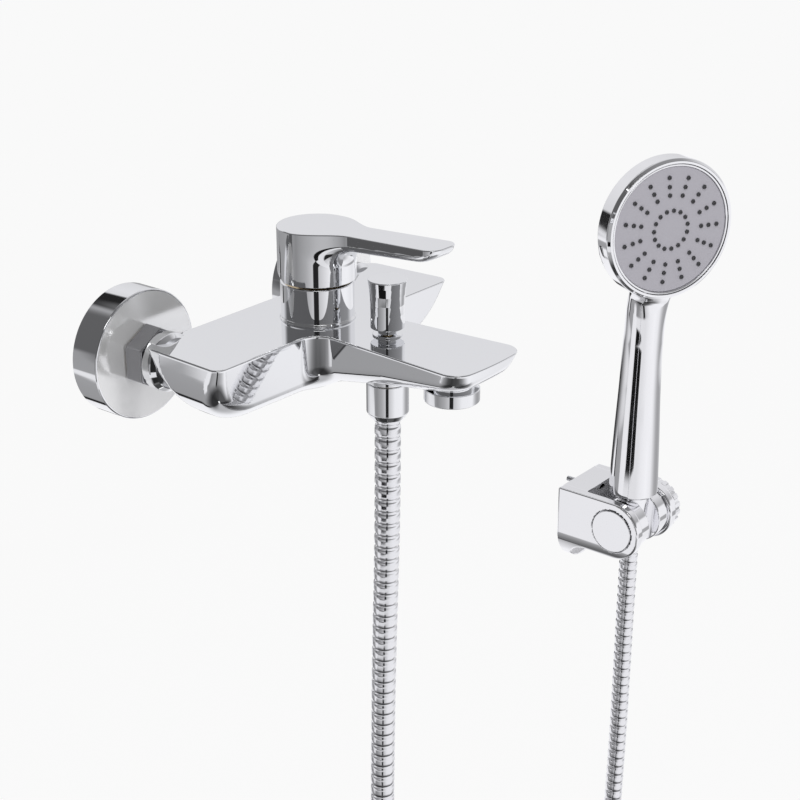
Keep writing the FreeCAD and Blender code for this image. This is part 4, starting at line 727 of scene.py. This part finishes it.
def handle():
    """Cast handle: blade and barrel with a crisp top edge, hollow under the skirt."""
    def body(x, y, z):
        shell = lever(x, y, z)
        inner = np.hypot(x, y + AXIS) - (HANDLE_RADIUS - HANDLE_WALL)
        hollow = np.maximum(inner, z - (HANDLE_TOP - 5.0))
        cut = np.maximum(shell, -hollow)
        cut = np.maximum(cut, skirt_level(y) - z)
        return np.maximum(cut, z - lever_top(y) + 1.2)

    piece = net("handle_casting", body, (-22, -158, SKIRT - 1), (22, -49, 67), 1.0,
                CHROME, "lever")
    crown("handle_top", lever, lever_outline(), lever_top, 0.6, 2.4, CHROME, "lever")
    skirt = lathe("handle_skirt", [
        (HANDLE_RADIUS - 2.2, SKIRT), (HANDLE_RADIUS, SKIRT, 0.35),
        (HANDLE_RADIUS + 0.02, SKIRT + 3.0), (HANDLE_RADIUS - 1.0, SKIRT + 3.4),
        (HANDLE_RADIUS - 2.2, SKIRT + 3.0),
    ], CHROME, "lever", TOWER, around=128)
    for vertex in skirt.data.vertices:
        vertex.co.z += float(skirt_level(vertex.co.y / MM) - SKIRT) * MM
    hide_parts("handle")


sleeve()
handle()


# Diverter knob

KNOB_BOTTOM = 16.4
KNOB_TOP = 42.6


def diverter():
    """Waisted pull-up knob on a slim neck, above its gland ring."""
    rows = [(3.0, 13.5), (5.0, 13.5, 0.2), (5.0, KNOB_BOTTOM, 0.3),
            (8.9, KNOB_BOTTOM, 0.6)]
    for share in (0.3, 0.5, 0.7, 0.86):
        waist = 8.8 + 1.4 * ((share - 0.3) / 0.7) ** 1.7
        rows.append((waist, KNOB_BOTTOM + (KNOB_TOP - KNOB_BOTTOM) * share, 18.0))
    rows += [(10.25, KNOB_TOP - 0.1, 0.5), (0.0, KNOB_TOP)]
    knob = lathe("knob", rows, CHROME, "diverter", OUTLET, closed=False)
    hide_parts("diverter_knob")
    gland = lathe("gland", [(3.2, 7.4), (7.8, 7.4), (7.8, 13.0, 0.4), (3.2, 13.0)],
                  CHROME, "mixer", OUTLET)
    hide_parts("diverter_gland")


diverter()


# Outlet nut, spout aerator

def outlet_nut():
    """Round nut that narrows to the hose."""
    piece = lathe("outlet_nut_shell", [
        (6.8, -33.3), (8.9, -33.3, 0.5), (11.1, -29.9, 1.2), (11.1, -13.3, 0.5),
        (9.5, -13.3), (9.5, -28.0), (6.8, -28.0),
    ], CHROME, "mixer", OUTLET)
    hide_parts("outlet_nut")


def aerator():
    """Round housing under the spout tip, its collar a little wider than the seam."""
    piece = lathe("aerator_shell", [
        (12.4, -13.2), (14.2, -13.2, 0.6), (14.2, -6.2, 0.4), (11.3, -6.2), (11.3, 1.0),
        (10.4, 1.0), (10.4, -7.6), (12.4, -7.6),
    ], CHROME, "mixer", SPOUT_MOUTH)
    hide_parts("aerator_housing")


outlet_nut()
aerator()


# Wall covers and union nuts

COVER_RADIUS = 34.6


def wall_side(side, x):
    """Cover with its satin front, whose near-white diffuse half is a painted white
    reflection, and hexagon nut, of one inlet.
    """
    at = Matrix.Translation((x, 0, 0)) @ OUT_OF_WALL
    cover = lathe("cover_" + side, [
        (COVER_RADIUS - 1.2, 0.0), (COVER_RADIUS, 0.0, 0.3), (COVER_RADIUS, 17.4, 0.9),
        (COVER_RADIUS - 1.0, 17.4), (COVER_RADIUS - 1.0, 16.8), (COVER_RADIUS - 1.2, 16.8),
    ], CHROME, "mixer", at, around=128)
    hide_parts("escutcheon_" + side)
    # Front disc: its near-white diffuse half is a painted white reflection.
    lathe("cover_painted_white_" + side, [
        (COVER_RADIUS - 1.0, 16.2), (COVER_RADIUS - 1.0, 17.4), (13.2, 17.4, 0.4),
        (13.2, 16.2),
    ], COVER_PAINTED_WHITE, "mixer", at, around=128)
    radius = 15.0 / math.cos(math.pi / 6)
    corners = [(radius * math.sin(math.pi / 3 * k), -radius * math.cos(math.pi / 3 * k), 0.8)
               for k in range(6)]
    nut = slab("nut_" + side, corners, 18.3, 29.9, 0.7, NUT, "mixer", at)
    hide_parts("union_nut_" + side)


wall_side("left", -INLET_HALF)
wall_side("right", INLET_HALF)


# Wall bracket

PIVOT = (381.0, -48.0, -261.0)
BRACKET_HALF = 28.5
ARM_INNER = 20.5
ARM_RADIUS = 23.0
BRACKET_TOP = PIVOT[2] + ARM_RADIUS
BRACKET_FOOT = BRACKET_TOP - 65.0
FOOT_DEPTH = 7.0
BLOCK_DEPTH = 21.0
SCOOP = 17.0
CAP_RADIUS = 16.5
CUP_RADIUS = 20.5
CUP_SLOT = 7.6
CUP_PLAY = 0.25
CONE_FOOT = -20.0
CONE_TOP = 23.4
CONE_FOOT_RADIUS = 8.7
CONE_TOP_RADIUS = 12.4
KNOB_RADIUS = 21.5
KNOB_GRIPS = 20
HOLDER = Matrix.Translation(PIVOT) @ Matrix.Rotation(math.radians(0.5), 4, "X")


def bracket(x, y, z):
    """Wall plate with a round lower end, scooped underside and two round arms."""
    off = np.abs(x - PIVOT[0])
    tall = np.abs(z - PIVOT[2]) - ARM_RADIUS
    nose = np.hypot(np.minimum(y - PIVOT[1], 0), z - PIVOT[2]) - ARM_RADIUS
    reach = np.where(y < PIVOT[1], nose, tall)
    foot = np.maximum(-y - FOOT_DEPTH, z - PIVOT[2])
    arm = join(SCOOP, reach, foot)
    block = join(SCOOP, np.maximum(tall + 0.5, -y - BLOCK_DEPTH), foot)
    end = BRACKET_FOOT + BRACKET_HALF
    width = np.where(z < end, np.hypot(off, z - end), off) - BRACKET_HALF
    arms = meet(1.5, arm, width, ARM_INNER - off, z - BRACKET_TOP)
    middle = meet(0.8, block, width, z - BRACKET_TOP, off - ARM_INNER - 1.0)
    whole = np.maximum(np.minimum(arms, middle), y)
    recess = np.maximum(np.hypot(y - PIVOT[1], z - PIVOT[2]) - CAP_RADIUS - 0.35,
                        x - PIVOT[0] + BRACKET_HALF - 1.8)
    return np.maximum(whole, -recess)


def bracket_pieces():
    """Plated bracket with painted shade on the faces between its arms, the cap over its
    screw, two half cups and the grip knob.
    """
    low = (PIVOT[0] - BRACKET_HALF, -71.0, BRACKET_FOOT)
    high = (PIVOT[0] + BRACKET_HALF, 0.0, BRACKET_TOP)
    body = net("bracket_plate", bracket, low, high, 0.9, PLATED, "mixer")
    # Faces in the slot between the arms take the darker copy of the plated finish: painted
    # shade.
    body.data.materials.append(PLATED_PAINTED_SHADE)
    for face in body.data.polygons:
        x, y, z = face.center / MM
        if abs(x - PIVOT[0]) < ARM_INNER - 0.6 and y < -FOOT_DEPTH and z < BRACKET_TOP - 0.9:
            face.material_index = 1
    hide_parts("bracket_body")
    left = (Matrix.Translation((PIVOT[0] - BRACKET_HALF + 1.7, PIVOT[1], PIVOT[2]))
            @ Matrix.Rotation(-math.pi / 2, 4, "Y"))
    cap = lathe("bracket_cover", [
        (0.0, 0.0), (CAP_RADIUS, 0.0), (CAP_RADIUS, 2.3, 0.5), (0.0, 2.45),
    ], PLATED, "mixer", left, closed=False)
    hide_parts("bracket_cap")

    def cup(x, y, z):
        """Both half cups about the pivot: a disc less the cone of the hose nut."""
        off = np.abs(x)
        disc = meet(1.1, np.hypot(y, z) - CUP_RADIUS, off - ARM_INNER + 0.4)
        widening = (CONE_TOP_RADIUS - CONE_FOOT_RADIUS) / (CONE_TOP - CONE_FOOT)
        cone = CONE_FOOT_RADIUS + widening * (z - CONE_FOOT) + CUP_PLAY
        groove = meet(0.6, disc, CUP_SLOT - off, cone - np.hypot(x, y))
        journal = np.maximum(np.hypot(y, z) - 6.8, off - ARM_INNER - 4.0)
        journal = np.maximum(journal, ARM_INNER - 2.0 - off)
        return np.minimum(groove, journal)

    for side, name in ((-1, "left"), (1, "right")):
        def half(x, y, z, side=side):
            return np.maximum(cup(x, y, z), -x * side)

        low = (-26.0 if side < 0 else 5.0, -21.0, -21.0)
        high = (-5.0 if side < 0 else 26.0, 21.0, 21.0)
        piece = net("cup_" + name, half, low, high, 0.8, PLATED, "holder", HOLDER)
        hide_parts("holder_cup_" + name)
    outline = []
    for index in range(KNOB_GRIPS):
        for share, radius in ((0.04, KNOB_RADIUS), (0.50, KNOB_RADIUS),
                              (0.60, KNOB_RADIUS - 1.0), (0.94, KNOB_RADIUS - 1.0)):
            angle = 2 * math.pi * (index + share) / KNOB_GRIPS
            outline.append((radius * math.cos(angle), radius * math.sin(angle), 0.5))
    right = (Matrix.Translation((PIVOT[0] + BRACKET_HALF + 0.4, PIVOT[1], PIVOT[2]))
             @ Matrix.Rotation(math.pi / 2, 4, "Y"))
    knob = slab("knob_grip", outline, 1.6, 8.5, 0.6, PLATED, "clamp", right)
    lathe("knob_base", [(0.0, 0.0), (KNOB_RADIUS - 0.1, 0.0, 0.3),
                        (KNOB_RADIUS - 0.1, 1.8, 0.3), (0.0, 1.8)],
          PLATED, "clamp", right, closed=False)
    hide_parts("clamp_knob")


bracket_pieces()


# Hand shower

HELD = HOLDER @ Matrix.Rotation(math.radians(-27.0), 4, "Z")
FOOT = 23.8
HEAD_LEVEL = 235.3
HEAD_RADIUS = 51.0
HEAD_FACE = 27.0
SPOKES = 15
NOZZLE_RINGS = ((0.27, 0.5), (0.49, 0.0), (0.61, 0.0), (0.74, 0.0))
NOZZLE_SIDE = ((1.7, 25.6, 0.0), (1.6, 26.6, 0.3), (1.3, 26.9, 1.0), (0.55, 26.9, 1.0),
               (0.5, 26.2, 0.6))
NOZZLE_CORNERS = 6
FACE_AT = HELD @ Matrix.Translation((0, 0, HEAD_LEVEL)) @ OUT_OF_WALL


def eased(value, knots):
    """Smooth curve through rows of (place, height)."""
    places = np.array([k[0] for k in knots])
    heights = np.array([k[1] for k in knots])
    slopes = np.gradient(heights, places)
    value = np.clip(value, places[0], places[-1])
    at = np.clip(np.searchsorted(places, value, side="right") - 1, 0, len(places) - 2)
    width = places[at + 1] - places[at]
    t = (value - places[at]) / width
    return ((2 * t ** 3 - 3 * t ** 2 + 1) * heights[at]
            + (t ** 3 - 2 * t ** 2 + t) * width * slopes[at]
            + (3 * t ** 2 - 2 * t ** 3) * heights[at + 1]
            + (t ** 3 - t ** 2) * width * slopes[at + 1])


def grip(x, y, z):
    """Waisted grip that leans forward and widens into the head's back."""
    across = eased(z, [(FOOT, 18.5), (70, 16.9), (110, 15.3), (145, 14.7), (172, 15.4),
                       (191, 18.5), (206, 25.0), (220, 31.0)])
    deep = eased(z, [(FOOT, 18.5), (70, 16.9), (110, 15.2), (145, 14.4), (172, 13.6),
                     (191, 11.0), (206, 8.5), (220, 6.8)])
    forward = eased(z, [(FOOT, 0.0), (110, 0.0), (145, 0.6), (172, 3.0), (191, 8.4),
                        (206, 12.4), (220, 14.4)])
    ratio = np.sqrt((x / across) ** 2 + ((y + forward) / deep) ** 2)
    tube = (ratio - 1) * np.minimum(across, deep)
    return np.maximum(tube, z - 222.0)


def head_back(x, y, z):
    """Shallow dome behind the head's rim."""
    out = np.hypot(x, z - HEAD_LEVEL)
    rear = -HEAD_FACE + 14.5
    dome = rear + (-3.2 - rear) * np.clip(1 - (out / (HEAD_RADIUS - 0.4)) ** 2.6, 0, 1)
    flat = (y - dome) * 0.86
    front = -y - (HEAD_FACE - 6.0)
    return meet(2.0, out - (HEAD_RADIUS - 0.8), flat, front)


def hand_shower():
    """One moulding: grip, neck and the back of the head, with the turned rim."""
    def shape(x, y, z):
        whole = join(9.0, grip(x, y, z), head_back(x, y, z))
        whole = np.maximum(whole, -y - (HEAD_FACE - 5.0))
        return meet(1.0, whole, FOOT - z)

    piece = net("shower_moulding", shape, (-52, -23, FOOT - 1), (52, 20, 295), 1.5,
                PLATED, "handset", HELD)
    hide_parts("handset_shell")
    lathe("shower_rim", [
        (47.2, 12.0), (51.0, 12.0, 1.2), (51.0, 25.0, 1.9), (49.0, 27.0, 0.6),
        (47.2, 27.0, 0.3), (47.2, 22.0), (44.0, 20.0),
    ], PLATED, "handset", FACE_AT, around=160)


def face():
    """Satin face plate, its bright ring and the rubber nozzles.

    A ring of nozzles has its share of the head's radius and its turn by part of a
    spoke; a nozzle's side has the radius, level and upward lean of each of its edges.
    """
    plate = lathe("face_disc", [
        (0.0, 23.4), (45.2, 23.4, 0.4), (45.2, 25.6, 0.5), (0.0, 25.9),
    ], FACE, "handset", FACE_AT, closed=False, around=128)
    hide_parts("face_plate")
    ring = lathe("face_ring", [
        (45.3, 23.4), (46.9, 23.4), (46.9, 26.7, 0.5), (45.3, 26.3, 0.5),
    ], PLATED, "handset", FACE_AT, around=128)
    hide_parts("trim_ring")
    points, faces, normals = [], [], []
    for share, phase in NOZZLE_RINGS:
        for index in range(SPOKES):
            angle = 2 * math.pi * (index + phase) / SPOKES
            middle = np.array([math.cos(angle), math.sin(angle)]) * HEAD_RADIUS * share
            start = len(points)
            for radius, level, up in NOZZLE_SIDE:
                for corner in range(NOZZLE_CORNERS):
                    turn = angle + corner * 2 * math.pi / NOZZLE_CORNERS
                    out = np.array([math.cos(turn), math.sin(turn)])
                    points.append((*(middle + out * radius), level))
                    normals.append((*(out * (1 - up * 0.98)), up + 1e-3))
            faces += stitch(NOZZLE_CORNERS, len(NOZZLE_SIDE), start)
            faces.append(tuple(range(len(points) - NOZZLE_CORNERS, len(points))))
    nozzles = add_mesh("nozzles", points, faces, normals, NOZZLE, "handset", FACE_AT)
    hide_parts("nozzle_mat")


def cone_nut():
    """Smooth cone that the hose ends in, under the grip."""
    piece = lathe("cone_nut_shell", [
        (6.8, CONE_FOOT), (CONE_FOOT_RADIUS, CONE_FOOT, 0.5),
        (CONE_TOP_RADIUS, CONE_TOP, 0.5), (9.6, CONE_TOP), (9.6, 5.0), (6.8, 5.0),
    ], PLATED, "handset", HELD)
    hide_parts("cone_nut")


hand_shower()
face()
cone_nut()


# Stage: floor, light and a round tent of greys for the polished metal to mirror

FLOOR = -870.0
FLOOR_HALF = 12.0
FLOOR_WHITE = 0.90
WORLD_LIGHT = 0.55
STRIPE_GREY = 0.02
FLAG_GREY = 0.008


def white_share(tree, seen):
    """Share of plain white: what is seen directly, and all of it in metal and glass."""
    nodes, links = tree.nodes, tree.links
    rays = nodes.new("ShaderNodeLightPath")
    direct = nodes.new("ShaderNodeMath")
    direct.operation = "MULTIPLY"
    links.new(rays.outputs["Is Camera Ray"], direct.inputs[0])
    direct.inputs[1].default_value = seen
    share = direct.outputs[0]
    for ray in ("Is Glossy Ray", "Is Transmission Ray"):
        most = nodes.new("ShaderNodeMath")
        most.operation = "MAXIMUM"
        links.new(share, most.inputs[0])
        links.new(rays.outputs[ray], most.inputs[1])
        share = most.outputs[0]
    return share


def floor():
    """Wide pale floor, nearly white to the camera, which keeps a little of its shadow."""
    mesh = bpy.data.meshes.new("floor")
    mesh.from_pydata([(x * FLOOR_HALF, y * FLOOR_HALF, FLOOR * MM)
                      for x, y in ((-1, -1), (1, -1), (1, 1), (-1, 1))], [],
                     [(0, 1, 2, 3)])
    obj = bpy.data.objects.new("floor", mesh)
    bpy.context.scene.collection.objects.link(obj)
    material = bpy.data.materials.new("floor")
    material.use_nodes = True
    nodes, links = material.node_tree.nodes, material.node_tree.links
    nodes["Principled BSDF"].inputs["Base Color"].default_value = (0.8, 0.8, 0.8, 1)
    nodes["Principled BSDF"].inputs["Roughness"].default_value = 0.9
    white = nodes.new("ShaderNodeEmission")
    mix = nodes.new("ShaderNodeMixShader")
    links.new(white_share(material.node_tree, FLOOR_WHITE), mix.inputs[0])
    links.new(nodes["Principled BSDF"].outputs[0], mix.inputs[1])
    links.new(white.outputs[0], mix.inputs[2])
    links.new(mix.outputs[0], nodes["Material Output"].inputs["Surface"])
    obj.data.materials.append(material)


def studio():
    """Even white world, white where the camera or the metal looks past the object."""
    world = bpy.data.worlds.new("studio")
    bpy.context.scene.world = world
    world.use_nodes = True
    nodes, links = world.node_tree.nodes, world.node_tree.links
    background = nodes["Background"]
    level = nodes.new("ShaderNodeMapRange")
    level.inputs["To Min"].default_value = WORLD_LIGHT
    level.inputs["To Max"].default_value = 1.0
    links.new(white_share(world.node_tree, 1.0), level.inputs["Value"])
    links.new(level.outputs["Result"], background.inputs["Strength"])
    background.inputs["Color"].default_value = (1, 1, 1, 1)


def lamp(name, place, target, size, power):
    """Large soft lamp turned towards a target, all in metres and watts."""
    light = bpy.data.lights.new(name, "AREA")
    light.shape = "RECTANGLE"
    light.size, light.size_y = size
    light.energy = power
    obj = bpy.data.objects.new(name, light)
    obj.location = place
    obj.rotation_mode = "QUATERNION"
    obj.rotation_quaternion = (Vector(target) - Vector(place)).to_track_quat("-Z", "Y")
    bpy.context.scene.collection.objects.link(obj)


def glowing(name, points, faces, greys):
    """Studio sheet that glows with a grey of its own at each point.

    It shows only in polished metal, so it throws no light or shadow.
    """
    mesh = bpy.data.meshes.new(name)
    mesh.from_pydata((np.array(points) * MM).tolist(), [], faces)
    level = mesh.attributes.new("grey", "FLOAT", "POINT")
    level.data.foreach_set("value", [float(grey) for grey in greys])
    obj = bpy.data.objects.new(name, mesh)
    bpy.context.scene.collection.objects.link(obj)
    material = bpy.data.materials.new(name)
    material.use_nodes = True
    nodes, links = material.node_tree.nodes, material.node_tree.links
    nodes.clear()
    read = nodes.new("ShaderNodeAttribute")
    read.attribute_name = "grey"
    glow = nodes.new("ShaderNodeEmission")
    glow.inputs["Color"].default_value = (0.975, 0.975, 1.0, 1.0)
    out = nodes.new("ShaderNodeOutputMaterial")
    links.new(read.outputs["Fac"], glow.inputs["Strength"])
    links.new(glow.outputs["Emission"], out.inputs["Surface"])
    obj.data.materials.append(material)
    obj.visible_camera = False
    obj.visible_diffuse = False
    obj.visible_shadow = False


def towards(turn):
    """Level directions, each that many degrees to the right of the camera's side."""
    azimuth = AZIMUTH + np.radians(turn)
    return np.stack([np.sin(azimuth), -np.cos(azimuth), 0 * azimuth], -1)


def step_up(value, start, end):
    """Eases from 0 at the start to 1 at the end."""
    share = np.clip((value - start) / (end - start), 0, 1)
    return share * share * (3 - 2 * share)


def within(value, low, high, soft):
    """1 between two values, easing to 0 just outside them."""
    return step_up(value, low - soft, low) * (1 - step_up(value, high, high + soft))


def tent_grey(turn, rise):
    """Grey of the studio tent in a direction from the mixer, in degrees.

    Turns run to the right from the camera's side, rises up from the horizon.
    """
    # Greys round the horizon, with the darker ones that lever and cover rims mirror
    side = np.interp(turn, [-180, -134, -126, -104, -94, -77, -60, -30, -11, 9, 40, 100,
                            126, 150, 180],
                     [1.0, 0.95, 0.34, 0.36, 0.38, 0.34, 0.28, 0.44, 0.62, 0.62, 0.95, 1.0,
                      0.9, 1.0, 1.0])
    lever_side = within(turn, -82, -73, 2.0) * within(rise, -17.0, 0.0, 1.5)
    rim_side = step_up(-turn, 134, 138) * within(rise, -16.0, 1.0, 3.0)
    side = side * (1 - 0.72 * lever_side) * (1 - 0.62 * rim_side)
    # Deeper greys towards the ground, which the leaning faces and undersides mirror
    sunk = 1 - step_up(-rise, 50, 72) * (0.90 - 0.4 * step_up(np.abs(turn), 120, 160))
    floorward = within(turn, 108, 150, 10) * step_up(-rise, 41, 58)
    low = side * sunk * (1 - 0.72 * floorward)
    behind = step_up(np.abs(turn), 105, 130)
    front = np.interp(turn, [-110, -20, 20, 110], [0.13, 0.12, 0.18, 0.32])
    high = front * (1 - behind) + np.interp(rise, [0, 30, 70], [0.72, 0.84, 0.6]) * behind
    grey = low + (high - low) * step_up(rise, -2, 3)
    # Thin black stripes that give the barrels and cover bands their dark lines
    dark = within(turn, -9, 5, 1.5) * within(rise, -62, 50, 4)
    dark = np.maximum(dark, within(turn, -133, -127, 1.5) * within(rise, -60, 4, 3))
    dark = np.maximum(dark, within(rise, 38, 43, 1.0) * step_up(-turn, 115, 125))
    return grey * (1 - dark) + STRIPE_GREY * dark


def shower_grey(turn, dip):
    """Grey the hand shower mirrors in a direction from it, in degrees.

    Its grip shows a dark flag that narrows to a line towards the neck.
    """
    grey = np.interp(turn, [-180, -150, -131, -110, -94, -60, -54, 0, 20, 50, 74, 87, 102,
                            120, 146, 180],
                     [0.03, 0.05, 0.28, 0.66, 0.86, 0.92, 0.85, 0.82, 0.92, 1.0, 0.92,
                      0.68, 0.44, 0.38, 0.50, 0.60])
    left = np.interp(dip, [-26.0, -23.5, -21.5], [-84, -58, -51])
    right = np.interp(dip, [-26.0, -23.5, -21.5], [-81, -55, -13])
    dark = within(turn, left, right, 1.5) * step_up(dip, -22.6, -21.8)
    return grey * (1 - dark) + FLAG_GREY * dark


def shower_share(turn, dip, height):
    """Share of the shower's own greys: the wall's foot and the sheet near it."""
    top = np.interp(turn, [-180, -130, -110, -70, -58, 58, 72, 90, 180],
                    [-598, -598, -640, -655, -780, -780, -655, -598, -598])
    low = -29 - 6 * within(turn, -77, -62, 1.5)
    share = step_up(dip, low, low + 2) * (1 - step_up(height, top - 15, top + 15))
    beside = within(turn, -135, -82.5, 1.5)
    return share * (1 - beside * (1 - step_up(height, -780, -750)))


MIXER = np.array([0.0, -100.0, 0.0])
SHOWER = np.array([381.0, -55.0, -170.0])
TENT_RADIUS = 1600.0
TENT_LOW = FLOOR + 8.0
TENT_HIGH = 1500.0
TENT_ROWS = 70


def tent():
    """Round tent about the mixer: a wall with a lid and a ground sheet.

    The wall's foot and the sheet's outer part are what the hand shower mirrors.
    """
    turns = np.arange(-180, 180, 1.0)
    front, right = towards(np.array([0.0, 90.0]))
    rings = [(TENT_RADIUS * share, TENT_LOW) for share in
             [0.02, 0.06, 0.12, 0.18, 0.24, 0.3, 0.36, 0.42, 0.48]
             + np.arange(0.52, 1.0, 0.015).tolist()]
    rings += [(TENT_RADIUS, TENT_LOW + (TENT_HIGH - TENT_LOW) * step / TENT_ROWS)
              for step in range(TENT_ROWS + 1)]
    rings += [(TENT_RADIUS * share, TENT_HIGH) for share in (0.8, 0.6, 0.4, 0.2, 0.02)]
    points, greys = [], []
    for radius, height in rings:
        ring = MIXER + radius * towards(turns) + np.array([0, 0, height])
        grey = tent_grey(turns, math.degrees(math.atan2(height, radius)))
        seen = ring - SHOWER
        far = np.hypot(seen[:, 0], seen[:, 1])
        turn = np.degrees(np.arctan2(seen @ right, seen @ front))
        dip = np.degrees(np.arctan2(seen[:, 2], far))
        share = shower_share(turn, dip, height)
        points.append(ring)
        greys.append(grey + (shower_grey(turn, dip) - grey) * share)
    glowing("tent", np.concatenate(points), stitch(len(turns), len(rings)),
            np.concatenate(greys))


floor()
studio()
lamp("key", (-0.9, -1.1, 1.5), (0.1, -0.1, 0), (1.2, 1.2), 14.0)
tent()
bpy.context.scene.view_settings.view_transform = "Standard"
